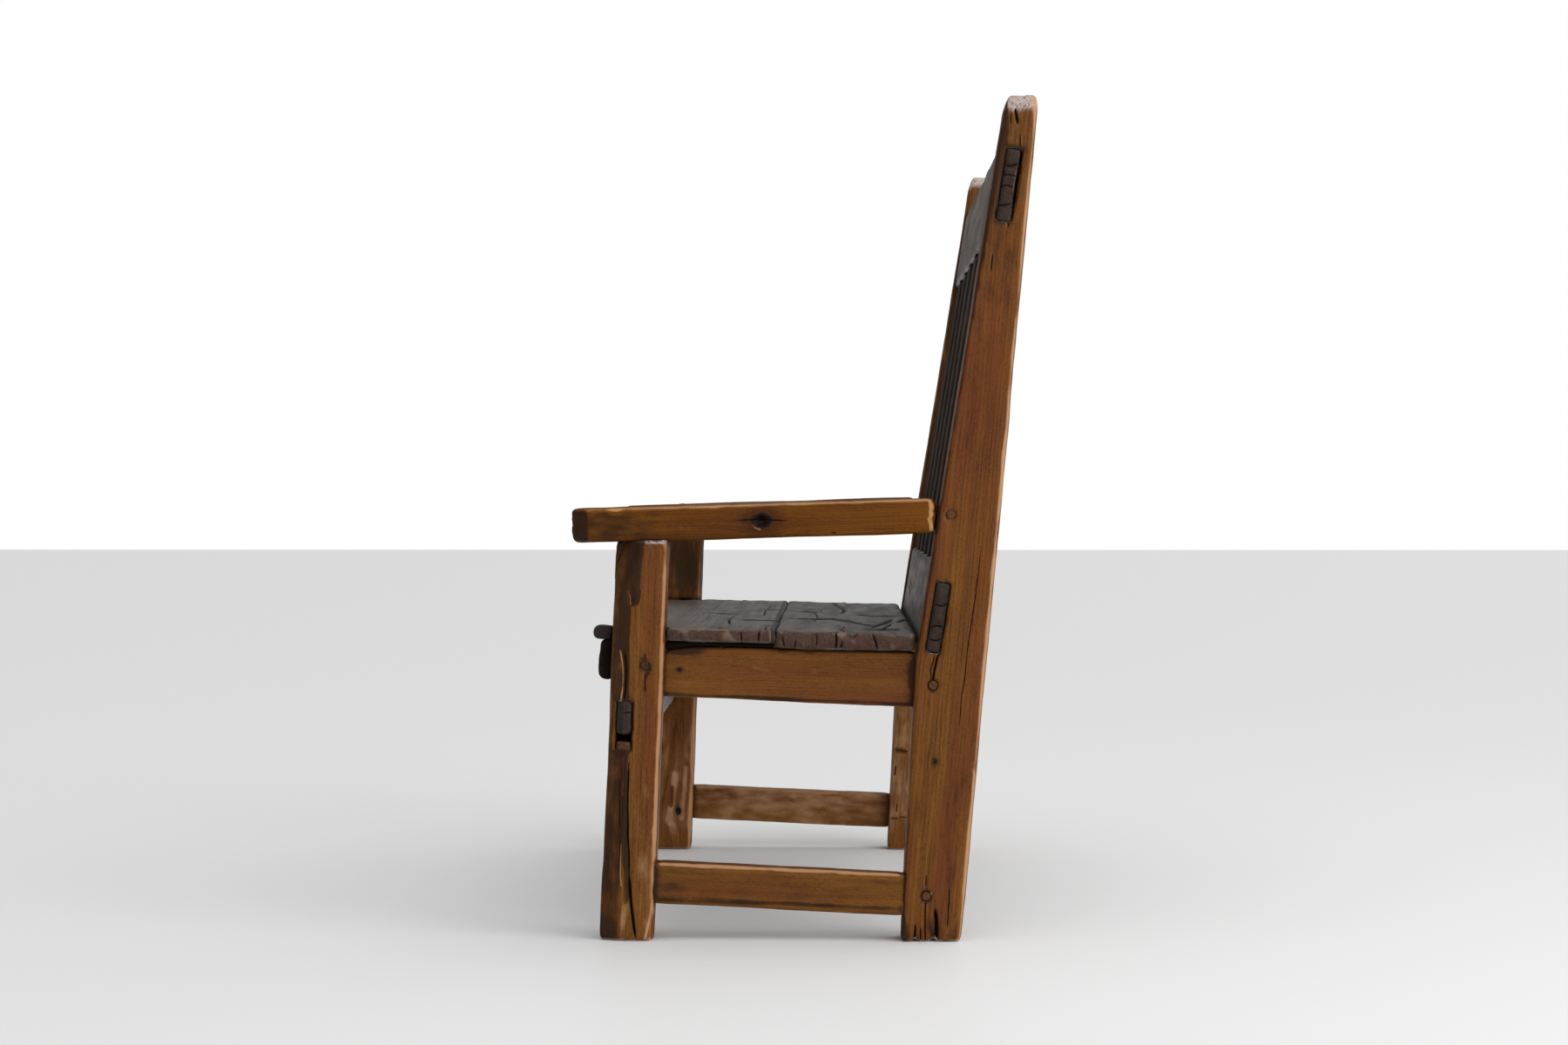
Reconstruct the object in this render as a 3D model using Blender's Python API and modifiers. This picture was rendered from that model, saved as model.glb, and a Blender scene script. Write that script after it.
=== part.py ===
"""High-backed wooden bench: two pegged end frames, rails between them, a board seat and a slatted back.

Metres, with X along the bench, Y from the front to the back and Z up from the floor.
The left end is the sitter's left, on +X, and the right end mirrors it.
"""
from math import cos, pi, radians, sin

import bmesh
import bpy
from mathutils import Matrix, Vector
from mathutils.geometry import intersect_line_line

FIT = 0.0003  # clearance between pieces that touch

# Posts
BENCH_LENGTH = 1.2  # over the outer faces of the posts
POST_THICKNESS = 0.066  # of all four posts, along X
POST_ARRIS = 0.004  # rounding of the long edges
FRONT_FOOT_Y = -0.2943  # front edge of the front feet
FRONT_POST_DEPTH = 0.0765
FRONT_POST_LEAN = radians(2.25)
REAR_FOOT_Y = 0.1391  # front edge of the rear feet
REAR_FOOT_DEPTH = 0.0868
REAR_LEG_LEAN = radians(3.0)
REAR_POST_HEIGHT = 1.216
REAR_TOP_DEPTH = 0.0467
BACK_RAKE = radians(9.15)

# Waney outer front corner of the front posts, as the width of the flat on each face
WANE_ALONG_FOOT = 0.028
WANE_ALONG_TOP = 0.018
WANE_ACROSS = 0.015
HEAD_WANE_ALONG = 0.044  # the wider flat at the head of the post
HEAD_WANE_ACROSS = 0.03
HEAD_WANE_LENGTH = 0.15

# Seat, measured at Y = 0 on its top face
SEAT_HEIGHT = 0.447
SEAT_SLOPE = radians(1.3)
SEAT_END_INSET = 0.008  # of the board ends from the outer faces of the posts
FRONT_BOARD_THICKNESS = 0.02
FRONT_BOARD_DEPTH = 0.2635
PACKING_THICKNESS = 0.0067  # strip that lifts the thinner front board level with the rear one
PACKING_INSET = 0.004  # from the outer face of the end rail
BOARD_GAP = 0.001  # open joint between the two boards
BOARD_ARRIS = 0.002
NOSE_OVERHANG = 0.029  # in front of the front posts
NOSE_TOP_RADIUS = 0.008
NOSE_BOTTOM_RADIUS = 0.005
NOSE_WEAR_ALONG = 0.034  # front edge worn to a slope between the posts
NOSE_WEAR_DROP = 0.0185
NOSE_WEAR_FADE = 0.06  # over which the slope runs out towards each post
NOSE_WEAR_AT_POST = 0.8  # share of the slope that is left there
SCRIBE_GAP = 0.001  # round the posts where the front board is notched
APRON_DEPTH = 0.0585
APRON_THICKNESS = 0.018
APRON_LAP = 0.033  # of the apron on each front post
APRON_BEAD_DEPTH = 0.036
APRON_BEAD_PROUD = 0.0015
APRON_BEAD_RADIUS = 0.01

# Tenons of the end frames
TENON_THICKNESS = 0.02
TENON_LENGTH = 0.048
SEAT_TENON_HEIGHT = 0.046
STRETCHER_TENON_HEIGHT = 0.036
ARM_TENON_HEIGHT = 0.03
STUB_DEPTH = 0.04  # tenon on the head of the front post, along Y
STUB_HEIGHT = 0.028

# End rails under the seat
SEAT_RAIL_THICKNESS = 0.028
SEAT_RAIL_INSET = 0.02  # from the outer faces of the posts
SEAT_RAIL_DEPTH = 0.077  # at Y = 0
SEAT_RAIL_TAPER = radians(1.1)
SEAT_RAIL_DROP_LENGTH = 0.044  # where the top edge falls away towards the front post
SEAT_RAIL_DROP = radians(7)
RAIL_ARRIS = 0.003

# Low stretchers of the end frames
STRETCHER_THICKNESS = 0.036
STRETCHER_INSET = 0.003
STRETCHER_HEIGHT = 0.1045  # of the top edge at Y = 0
STRETCHER_DEPTH = 0.061
STRETCHER_SLOPE = radians(2.65)

# Arms
ARM_ABOVE_SEAT = 0.127  # underside of the arm at the front post
ARM_WIDTH = 0.086
ARM_THICKNESS = 0.05
ARM_INSET = 0.001
ARM_OVERHANG = 0.063  # in front of the front post
ARM_SLOPE = radians(1.7)
ARM_CORNER_ALONG = 0.024  # cut front corners
ARM_CORNER_ACROSS = 0.018
ARM_ARRIS = 0.006

# Front rail with wedged through tenons
FRONT_RAIL_THICKNESS = 0.03
FRONT_RAIL_DEPTH = 0.082
FRONT_RAIL_SETBACK = 0.008  # from the front faces of the posts
FRONT_TENON_DROP = 0.0065  # of the tenons below the end rails
FRONT_TENON_SHOULDER = 0.004  # all round the tenons
FRONT_TENON_TAPER = 0.014  # worn off the lower edge of the tenon at its outer end
WEDGE_HEIGHT = 0.014
WEDGE_RECESS = 0.001  # from the outer face of the post

# Back
BACK_RAIL_THICKNESS = 0.036
BACK_RAIL_SETBACK = 0.002  # from the front faces of the rear posts
BACK_TENON_SHOULDER = 0.011
BACK_TENON_THICKNESS = 0.0205
BACK_TENON_RECESS = 0.001
LOWER_RAIL_DEPTH = 0.134
LOWER_TENON_RISE = 0.004  # above the lower edge of its rail
LOWER_TENON_HEIGHT = 0.102
CREST_DROP = 0.071  # from the tops of the rear posts
CREST_DEPTH = 0.131
CREST_TENON_DROP = 0.003  # below the upper edge of its rail
CREST_TENON_HEIGHT = 0.106
CREST_MORTISE_SLACK = 0.003  # open gap behind the tenon
SLAT_COUNT = 5
SLAT_WIDTH = 0.095
SLAT_THICKNESS = 0.018
SLAT_SETBACK = 0.004  # from the front faces of the back rails
SLAT_TENON_LENGTH = 0.015
SLAT_TENON_THICKNESS = 0.012
SLAT_SHOULDER = 0.009

# Pegs
PEG_DIAMETER = 0.013
PEG_LENGTH = 0.05
PEG_PROUD = 0.001
PEG_SETBACK = 0.0265  # from the shoulder of the pegged tenon
STRETCHER_PEG_SETBACK = 0.0328
SEAT_RAIL_FRONT_PEG_RISE = 0.0094  # from the middle of the end rail
SEAT_RAIL_REAR_PEG_DROP = 0.008
ARM_PEG_SETBACK = 0.018
ARM_TOP_PEG_LENGTH = 0.06
APRON_PEG_LENGTH = 0.044
APRON_PEG_INSET = 0.012  # from the inner face of the post
SEAT_PEG_DIAMETER = 0.01
SEAT_PEG_LENGTH = 0.055
SEAT_PEG_FRONT_Y = -0.12
SEAT_PEG_REAR_Y = 0.06

# Drawing aids
BEVEL_ANGLE = 30  # edges that turn by more degrees than this are rounded
PEG_BEVEL_ANGLE = 60
PEG_BEVEL = 0.1  # of the peg's diameter
BEVEL_STEPS = 2
FLAT_ANGLE = 0.1  # faces that turn by fewer degrees than this are joined
CUT_MARGIN = 0.02  # that a cutter runs past the face it opens
WELD = 0.00001
ARC_STEPS = 4
PEG_SIDES = 12

# Colours and roughness of the timber
HONEY = (0.195, 0.084, 0.026)
GREY_BROWN = (0.105, 0.078, 0.056)
SMOKED = (0.072, 0.046, 0.028)
DARK_PEG = (0.06, 0.033, 0.017)
WAXED = 0.5
WEATHERED = 0.7

SIDES = {"left": 1, "right": -1}
PLANES = {
    "YZ": (Vector((1, 0, 0)), Matrix(((0, 0, 1), (1, 0, 0), (0, 1, 0))).to_4x4()),
    "XZ": (Vector((0, 1, 0)), Matrix(((1, 0, 0), (0, 0, -1), (0, 1, 0))).to_4x4()),
    "XY": (Vector((0, 0, 1)), Matrix.Identity(4)),
}
WORLD = Matrix.Identity(4)


# Lines and frames of the end view

def line(y, z, lean):
    """A line in the YZ plane through (y, z) that leans back from upright by an angle."""
    start = Vector((0, y, z))
    return start, start + Vector((0, sin(lean), cos(lean)))


def level(z):
    return line(0, z, pi / 2)


def moved(drawn_line, y):
    return tuple(point + Vector((0, y, 0)) for point in drawn_line)


def meet(first, second):
    """The point where two lines of the YZ plane cross."""
    return intersect_line_line(*first, *second)[0]


def tilted_frame(y, z, lean):
    """A frame at (y, z) whose own Z axis leans back from upright by an angle."""
    return Matrix.Translation((0, y, z)) @ Matrix.Rotation(-lean, 4, "X")


def frame_line(frame, z):
    """The line at a constant height of a frame."""
    return frame @ Vector((0, 0, z)), frame @ Vector((0, 1, z))


def local(frame, point):
    return frame.inverted() @ point


def flat(*points):
    """The (y, z) pairs of points in the YZ plane."""
    return [(point.y, point.z) for point in points]


def arc(y, z, radius, start, end):
    """Points round a corner, with the angles in degrees."""
    angles = [radians(start + (end - start) * step / ARC_STEPS) for step in range(ARC_STEPS + 1)]
    return [(y + radius * cos(angle), z + radius * sin(angle)) for angle in angles]


def span(side, inner, outer):
    """The low and high X of a stretch given by its distances from the middle of the bench."""
    return tuple(sorted((side * inner, side * outer)))


# Solids

def solid(name, bm, matrix):
    """Adds a mesh to the bench's collection."""
    bmesh.ops.recalc_face_normals(bm, faces=bm.faces)
    mesh = bpy.data.meshes.new(name)
    bm.to_mesh(mesh)
    bm.free()
    item = bpy.data.objects.new(name, mesh)
    PARTS.objects.link(item)
    item.parent = ROOT
    item.matrix_world = matrix
    return item


def box(name, frame, low, high, grow=0):
    """A box between two corners of a frame, grown on every side by a clearance."""
    low = Vector(low) - Vector((grow, grow, grow))
    high = Vector(high) + Vector((grow, grow, grow))
    bm = bmesh.new()
    bmesh.ops.create_cube(bm, size=1, matrix=Matrix.Diagonal((*(high - low), 1)))
    return solid(name, bm, frame @ Matrix.Translation((low + high) / 2))


def prism(name, frame, plane, outline, low, high):
    """A flat outline in a plane of a frame, extruded across that plane from low to high."""
    across, turn = PLANES[plane]
    curve = bpy.data.curves.new(name, "CURVE")
    curve.dimensions = "2D"
    curve.fill_mode = "BOTH"
    curve.extrude = (high - low) / 2
    spline = curve.splines.new("POLY")
    spline.points.add(len(outline) - 1)
    for point, (u, v) in zip(spline.points, outline):
        point.co = (u, v, 0, 1)
    spline.use_cyclic_u = True
    drawing = bpy.data.objects.new(name + "_outline", curve)
    PARTS.objects.link(drawing)
    mesh = bpy.data.meshes.new_from_object(drawing.evaluated_get(bpy.context.evaluated_depsgraph_get()))
    bpy.data.objects.remove(drawing)
    bpy.data.curves.remove(curve)
    bm = bmesh.new()
    bm.from_mesh(mesh)
    bpy.data.meshes.remove(mesh)
    bmesh.ops.remove_doubles(bm, verts=bm.verts, dist=WELD)
    bmesh.ops.dissolve_limit(bm, angle_limit=radians(FLAT_ANGLE), verts=bm.verts, edges=bm.edges)
    return solid(name, bm, frame @ Matrix.Translation(across * (low + high) / 2) @ turn)


def hull(name, frame, points):
    """The solid stretched over a few points of a frame."""
    bm = bmesh.new()
    for point in points:
        bm.verts.new(point)
    bmesh.ops.convex_hull(bm, input=bm.verts)
    return solid(name, bm, frame)


def rod(name, frame, start, direction, length, diameter):
    """A peg or its hole, from a start point along an axis of a frame."""
    direction = Vector(direction)
    bm = bmesh.new()
    turn = Vector((0, 0, 1)).rotation_difference(direction).to_matrix().to_4x4()
    bmesh.ops.create_cone(bm, cap_ends=True, segments=PEG_SIDES, radius1=diameter / 2,
                          radius2=diameter / 2, depth=length, matrix=turn)
    return solid(name, bm, frame @ Matrix.Translation(Vector(start) + direction * length / 2))


def soften(item, width, angle=BEVEL_ANGLE):
    """Rounds every edge that turns by more than an angle."""
    bevel = item.modifiers.new("rounded_edges", "BEVEL")
    bevel.width = width
    bevel.segments = BEVEL_STEPS
    bevel.limit_method = "ANGLE"
    bevel.angle_limit = radians(angle)
    return item


def combine(item, tool, operation):
    """Adds or removes a tool solid, which is then kept as a hidden guide."""
    modifier = item.modifiers.new(tool.name, "BOOLEAN")
    modifier.operation = operation
    modifier.object = tool
    if tool.name not in CUTTERS.objects:
        PARTS.objects.unlink(tool)
        CUTTERS.objects.link(tool)
        tool.hide_render = True
        tool.display_type = "WIRE"


def add(item, tool):
    combine(item, tool, "UNION")


def cut(item, tool):
    combine(item, tool, "DIFFERENCE")


def timber(item, colour, roughness):
    """Gives a piece its own material."""
    material = bpy.data.materials.new(item.name + "_timber")
    material.use_nodes = True
    shader = material.node_tree.nodes["Principled BSDF"]
    shader.inputs["Base Color"].default_value = (*colour, 1)
    shader.inputs["Roughness"].default_value = roughness
    shader.inputs["Metallic"].default_value = 0
    item.data.materials.append(material)
    return item


def peg(name, frame, head, direction, length, diameter, pieces):
    """A peg driven from its head along a direction, with its hole through the pieces that it pins."""
    head, direction = Vector(head), Vector(direction)
    hole = rod(name + "_hole", frame, head - direction * CUT_MARGIN, direction,
               CUT_MARGIN + length + FIT, diameter + 2 * FIT)
    for piece in pieces:
        cut(piece, hole)
    pin = rod(name, frame, head - direction * PEG_PROUD, direction, length + PEG_PROUD, diameter)
    return timber(soften(pin, diameter * PEG_BEVEL, PEG_BEVEL_ANGLE), DARK_PEG, WAXED)


# The bench is cleared and its collections made before anything is drawn
for old in list(bpy.data.objects):
    bpy.data.objects.remove(old)
PARTS = bpy.data.collections.new("wooden_bench")
CUTTERS = bpy.data.collections.new("wooden_bench_cutters")
bpy.context.scene.collection.children.link(PARTS)
bpy.context.scene.collection.children.link(CUTTERS)
ROOT = bpy.data.objects.new("wooden_bench", None)
PARTS.objects.link(ROOT)

# Setting out: the faces of the posts and the frames that the other pieces are built in
HALF = BENCH_LENGTH / 2
POST_INNER = HALF - POST_THICKNESS
POST_MIDDLE = HALF - POST_THICKNESS / 2
REAR_BOARD_THICKNESS = FRONT_BOARD_THICKNESS + PACKING_THICKNESS + FIT
ARM_UNDERSIDE = SEAT_HEIGHT + ARM_ABOVE_SEAT

FRONT_FRAME = tilted_frame(FRONT_FOOT_Y, 0, FRONT_POST_LEAN)
SEAT_FRAME = tilted_frame(0, SEAT_HEIGHT, SEAT_SLOPE)
STRETCHER_FRAME = tilted_frame(0, STRETCHER_HEIGHT, STRETCHER_SLOPE)

FRONT_POST_FRONT = line(FRONT_FOOT_Y, 0, FRONT_POST_LEAN)
FRONT_POST_BACK = line(FRONT_FOOT_Y + FRONT_POST_DEPTH, 0, FRONT_POST_LEAN)
REAR_LEG_FRONT = line(REAR_FOOT_Y, 0, REAR_LEG_LEAN)
SEAT_RAIL_TOP = frame_line(SEAT_FRAME, -REAR_BOARD_THICKNESS - FIT)

KNEE = meet(REAR_LEG_FRONT, SEAT_RAIL_TOP)  # where the rear post turns from leg to back
BACK_FRAME = tilted_frame(KNEE.y, KNEE.z, BACK_RAKE)
REAR_POST_FRONT = line(KNEE.y, KNEE.z, BACK_RAKE)
REAR_TOP = meet(REAR_POST_FRONT, level(REAR_POST_HEIGHT))

FRONT_TOP = meet(FRONT_POST_FRONT, level(ARM_UNDERSIDE))
ARM_FRAME = tilted_frame(FRONT_TOP.y, FRONT_TOP.z, -ARM_SLOPE)


# Posts

def wane_section(side, height, along, across):
    """Three points round the outer front corner of a front post, past the corner on both faces."""
    inner = Vector((side * (HALF - across), 0, height))
    outer = Vector((side * HALF, along, height))
    run = outer - inner
    return [inner - run, outer + run, Vector((side * (HALF + across), -along, height))]


def wane_cutters(name, side):
    """The long flat down the corner of a front post, and the wider one at its head."""
    top = local(FRONT_FRAME, FRONT_TOP).z + CUT_MARGIN
    foot = wane_section(side, -CUT_MARGIN, WANE_ALONG_FOOT, WANE_ACROSS)
    upper = wane_section(side, top, WANE_ALONG_TOP, WANE_ACROSS)
    head_foot = wane_section(side, top - CUT_MARGIN - HEAD_WANE_LENGTH, FIT, FIT)
    head = wane_section(side, top, HEAD_WANE_ALONG, HEAD_WANE_ACROSS)
    return [hull(name + "_wane", FRONT_FRAME, foot + upper),
            hull(name + "_head_wane", FRONT_FRAME, head_foot + head)]


def front_post(name, side):
    """A leaning post with a waney corner and a stub tenon that stands into the arm."""
    outline = flat(meet(FRONT_POST_FRONT, level(0)), meet(FRONT_POST_BACK, level(0)),
                   meet(FRONT_POST_BACK, level(ARM_UNDERSIDE)), FRONT_TOP)
    post = prism(name, WORLD, "YZ", outline, *span(side, POST_INNER, HALF))
    for wane in wane_cutters(name, side):
        cut(post, wane)
    soften(post, POST_ARRIS)
    add(post, box(name + "_stub", *stub_tenon(side, -STUB_HEIGHT / 2)))
    return timber(post, HONEY, WAXED)


def stub_tenon(side, root):
    """The frame and corners of the tenon on the head of a front post."""
    frame = tilted_frame(FRONT_TOP.y + FRONT_POST_DEPTH / 2, FRONT_TOP.z, 0)
    low_x, high_x = span(side, POST_MIDDLE - TENON_THICKNESS / 2, POST_MIDDLE + TENON_THICKNESS / 2)
    return frame, (low_x, -STUB_DEPTH / 2, root), (high_x, STUB_DEPTH / 2, STUB_HEIGHT)


def rear_post(name, side):
    """A post in one length: a leg that leans back a little and a back that rakes and tapers above it."""
    foot_back = Vector((0, REAR_FOOT_Y + REAR_FOOT_DEPTH, 0))
    top_back = REAR_TOP + Vector((0, REAR_TOP_DEPTH, 0))
    outline = flat(meet(REAR_LEG_FRONT, level(0)), foot_back, top_back, REAR_TOP, KNEE)
    post = prism(name, WORLD, "YZ", outline, *span(side, POST_INNER, HALF))
    return timber(soften(post, POST_ARRIS), HONEY, WAXED)


# Rails of the end frames

def end_tenons(frame, height, tenon_height, middle):
    """Corners of the bar whose two ends are the tenons of an end rail, at a height of its frame."""
    centre = frame_line(frame, height)
    front = local(frame, meet(FRONT_POST_BACK, centre)).y - TENON_LENGTH
    rear = local(frame, meet(REAR_LEG_FRONT, centre)).y + TENON_LENGTH
    low_x, high_x = sorted((middle - TENON_THICKNESS / 2, middle + TENON_THICKNESS / 2))
    return ((low_x, front, height - tenon_height / 2), (high_x, rear, height + tenon_height / 2))


def frame_end_rail(rail, frame, height, tenon_height, middle, posts):
    """Adds the tenons of an end rail and cuts their mortises in the two posts."""
    corners = end_tenons(frame, height, tenon_height, middle)
    add(rail, box(rail.name + "_tenons", frame, *corners))
    mortise = box(rail.name + "_mortises", frame, *corners, grow=FIT)
    for post in posts:
        cut(post, mortise)
    return timber(rail, HONEY, WAXED)


def seat_rail_middle(side):
    return side * (HALF - SEAT_RAIL_INSET - SEAT_RAIL_THICKNESS / 2)


def seat_rail_height():
    """Height of the middle of the end rails in the frame of the seat."""
    return -REAR_BOARD_THICKNESS - FIT - SEAT_RAIL_DEPTH / 2


def seat_rail_underside():
    foot = SEAT_FRAME @ Vector((0, 0, -REAR_BOARD_THICKNESS - FIT - SEAT_RAIL_DEPTH))
    return line(foot.y, foot.z, pi / 2 + SEAT_SLOPE + SEAT_RAIL_TAPER)


def seat_rail_crown():
    """The point of the rail's top edge where it starts to fall towards the front post."""
    front = local(SEAT_FRAME, meet(FRONT_POST_BACK, SEAT_RAIL_TOP))
    return SEAT_FRAME @ (front + Vector((0, SEAT_RAIL_DROP_LENGTH, 0)))


def seat_rail(name, side, posts):
    """An end rail that carries the seat, deeper at the back, with its top edge falling at the front."""
    front_face = moved(FRONT_POST_BACK, y=FIT)
    rear_face = moved(REAR_LEG_FRONT, y=-FIT)
    crown = seat_rail_crown()
    fall = line(crown.y, crown.z, pi / 2 - SEAT_RAIL_DROP)
    outline = flat(meet(front_face, seat_rail_underside()), meet(rear_face, seat_rail_underside()),
                   meet(rear_face, SEAT_RAIL_TOP), crown, meet(front_face, fall))
    outer = HALF - SEAT_RAIL_INSET
    rail = prism(name, WORLD, "YZ", outline, *span(side, outer - SEAT_RAIL_THICKNESS, outer))
    return frame_end_rail(soften(rail, RAIL_ARRIS), SEAT_FRAME, seat_rail_height(), SEAT_TENON_HEIGHT,
                          seat_rail_middle(side), posts)


def stretcher(name, side, posts):
    """A low rail between the feet, falling towards the back."""
    front_face = moved(FRONT_POST_BACK, y=FIT)
    rear_face = moved(REAR_LEG_FRONT, y=-FIT)
    top = frame_line(STRETCHER_FRAME, 0)
    underside = frame_line(STRETCHER_FRAME, -STRETCHER_DEPTH)
    outline = flat(meet(front_face, underside), meet(rear_face, underside),
                   meet(rear_face, top), meet(front_face, top))
    outer = HALF - STRETCHER_INSET
    rail = prism(name, WORLD, "YZ", outline, *span(side, outer - STRETCHER_THICKNESS, outer))
    return frame_end_rail(soften(rail, RAIL_ARRIS), STRETCHER_FRAME, -STRETCHER_DEPTH / 2,
                          STRETCHER_TENON_HEIGHT, side * (outer - STRETCHER_THICKNESS / 2), posts)


# Arms

def arm(name, side, front, rear):
    """An arm that sits on the front post and is tenoned into the rear one, its back end cut square."""
    middle = FIT + ARM_THICKNESS / 2
    back_end = local(ARM_FRAME, meet(REAR_POST_FRONT, frame_line(ARM_FRAME, FIT))).y - FIT
    outer = HALF - ARM_INSET
    inner = outer - ARM_WIDTH
    low_x, high_x = span(side, inner, outer)
    outline = [(low_x, back_end), (high_x, back_end),
               (high_x, ARM_CORNER_ALONG - ARM_OVERHANG), (high_x - ARM_CORNER_ACROSS, -ARM_OVERHANG),
               (low_x + ARM_CORNER_ACROSS, -ARM_OVERHANG), (low_x, ARM_CORNER_ALONG - ARM_OVERHANG)]
    rest = soften(prism(name, ARM_FRAME, "XY", outline, FIT, FIT + ARM_THICKNESS), ARM_ARRIS)
    post_face = local(ARM_FRAME, meet(REAR_POST_FRONT, frame_line(ARM_FRAME, middle))).y
    low_x, high_x = span(side, POST_MIDDLE - TENON_THICKNESS / 2, POST_MIDDLE + TENON_THICKNESS / 2)
    corners = ((low_x, back_end - TENON_LENGTH, middle - ARM_TENON_HEIGHT / 2),
               (high_x, post_face + TENON_LENGTH, middle + ARM_TENON_HEIGHT / 2))
    add(rest, box(name + "_tenon", ARM_FRAME, *corners))
    cut(rear, box(name + "_mortise", ARM_FRAME, *corners, grow=FIT))
    cut(rest, box(name + "_stub_mortise", *stub_tenon(side, -CUT_MARGIN), grow=FIT))
    peg(f"arm_rear_peg_{name.split('_')[-1]}", ARM_FRAME,
        (side * HALF, post_face + ARM_PEG_SETBACK, middle), (-side, 0, 0), PEG_LENGTH, PEG_DIAMETER,
        (rear, rest))
    frame = stub_tenon(side, 0)[0]
    centre = line(frame.translation.y, frame.translation.z, 0)
    head = meet(centre, frame_line(ARM_FRAME, FIT + ARM_THICKNESS)).z - frame.translation.z
    peg(f"arm_top_peg_{name.split('_')[-1]}", frame, (side * POST_MIDDLE, 0, head), (0, 0, -1),
        ARM_TOP_PEG_LENGTH, PEG_DIAMETER, (front, rest))
    return timber(rest, HONEY, WAXED)


# Pegs of the end rails

def end_rail_pegs(name, side, front, rear, seat, low):
    """Pegs through the posts into the tenons of the end rails, driven from outside."""
    inwards = (-side, 0, 0)
    seat_middle = seat_rail_height()
    centre = frame_line(SEAT_FRAME, seat_middle)
    front_face = local(SEAT_FRAME, meet(FRONT_POST_BACK, centre)).y
    rear_face = local(SEAT_FRAME, meet(REAR_LEG_FRONT, centre)).y
    peg(f"seat_rail_front_peg_{name}", SEAT_FRAME,
        (side * HALF, front_face - PEG_SETBACK, seat_middle + SEAT_RAIL_FRONT_PEG_RISE),
        inwards, PEG_LENGTH, PEG_DIAMETER, (front, seat))
    peg(f"seat_rail_rear_peg_{name}", SEAT_FRAME,
        (side * HALF, rear_face + PEG_SETBACK, seat_middle - SEAT_RAIL_REAR_PEG_DROP),
        inwards, PEG_LENGTH, PEG_DIAMETER, (rear, seat))
    low_middle = -STRETCHER_DEPTH / 2
    low_face = local(STRETCHER_FRAME, meet(REAR_LEG_FRONT, frame_line(STRETCHER_FRAME, low_middle))).y
    peg(f"stretcher_peg_{name}", STRETCHER_FRAME,
        (side * HALF, low_face + STRETCHER_PEG_SETBACK, low_middle),
        inwards, PEG_LENGTH, PEG_DIAMETER, (rear, low))


# Front rail, with a wedge under each through tenon

def front_rail(posts):
    """The rail between the front posts; its tenons run through the posts over a wedge."""
    shoulder = FRONT_TENON_SHOULDER
    top = local(FRONT_FRAME, meet(FRONT_POST_BACK, seat_rail_underside())).z - FRONT_TENON_DROP
    foot = top + 2 * shoulder - FRONT_RAIL_DEPTH
    tenon_front = FRONT_RAIL_SETBACK + shoulder
    tenon_back = FRONT_RAIL_SETBACK + FRONT_RAIL_THICKNESS - shoulder
    tenon_foot = foot + FIT + WEDGE_HEIGHT
    end = POST_INNER - FIT
    rail = box("front_rail", FRONT_FRAME, (-end, tenon_front - shoulder, foot - shoulder),
               (end, tenon_back + shoulder, top + shoulder))
    soften(rail, RAIL_ARRIS)
    for name, side in SIDES.items():
        root = POST_INNER - TENON_LENGTH
        outline = [(side * root, top), (side * root, tenon_foot), (side * POST_INNER, tenon_foot),
                   (side * HALF, tenon_foot + FRONT_TENON_TAPER), (side * HALF, top)]
        add(rail, prism(f"front_rail_tenon_{name}", FRONT_FRAME, "XZ", outline, tenon_front, tenon_back))
        wedge_x = span(side, POST_INNER, HALF - WEDGE_RECESS)
        wedge = box(f"front_rail_wedge_{name}", FRONT_FRAME, (wedge_x[0], tenon_front, foot),
                    (wedge_x[1], tenon_back, tenon_foot - FIT))
        mortise_x = span(side, POST_INNER - CUT_MARGIN, HALF + CUT_MARGIN)
        mortise = box(f"front_rail_mortise_{name}", FRONT_FRAME, (mortise_x[0], tenon_front, foot),
                      (mortise_x[1], tenon_back, top), grow=FIT)
        cut(posts[name], mortise)
        wane = bpy.data.objects[f"front_post_{name}_wane"]
        cut(rail, wane)
        cut(wedge, wane)
        timber(wedge, DARK_PEG, WAXED)
    return timber(rail, SMOKED, WEATHERED)


# Back

def back_rail(name, foot, depth, tenon_foot, tenon_height, slack, posts):
    """A rail of the back, whose through tenons show on the outer faces of the rear posts."""
    front = BACK_RAIL_SETBACK
    end = POST_INNER - FIT
    rail = box(name, BACK_FRAME, (-end, front, foot), (end, front + BACK_RAIL_THICKNESS, foot + depth))
    soften(rail, RAIL_ARRIS)
    tenon_front = front + BACK_TENON_SHOULDER
    tenon_back = tenon_front + BACK_TENON_THICKNESS
    tip = HALF - BACK_TENON_RECESS
    add(rail, box(name + "_tenons", BACK_FRAME, (-tip, tenon_front, tenon_foot),
                  (tip, tenon_back, tenon_foot + tenon_height)))
    mortise = box(name + "_mortises", BACK_FRAME, (-HALF - CUT_MARGIN, tenon_front, tenon_foot),
                  (HALF + CUT_MARGIN, tenon_back + slack, tenon_foot + tenon_height), grow=FIT)
    for post in posts.values():
        cut(post, mortise)
    return timber(rail, GREY_BROWN, WEATHERED)


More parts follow.
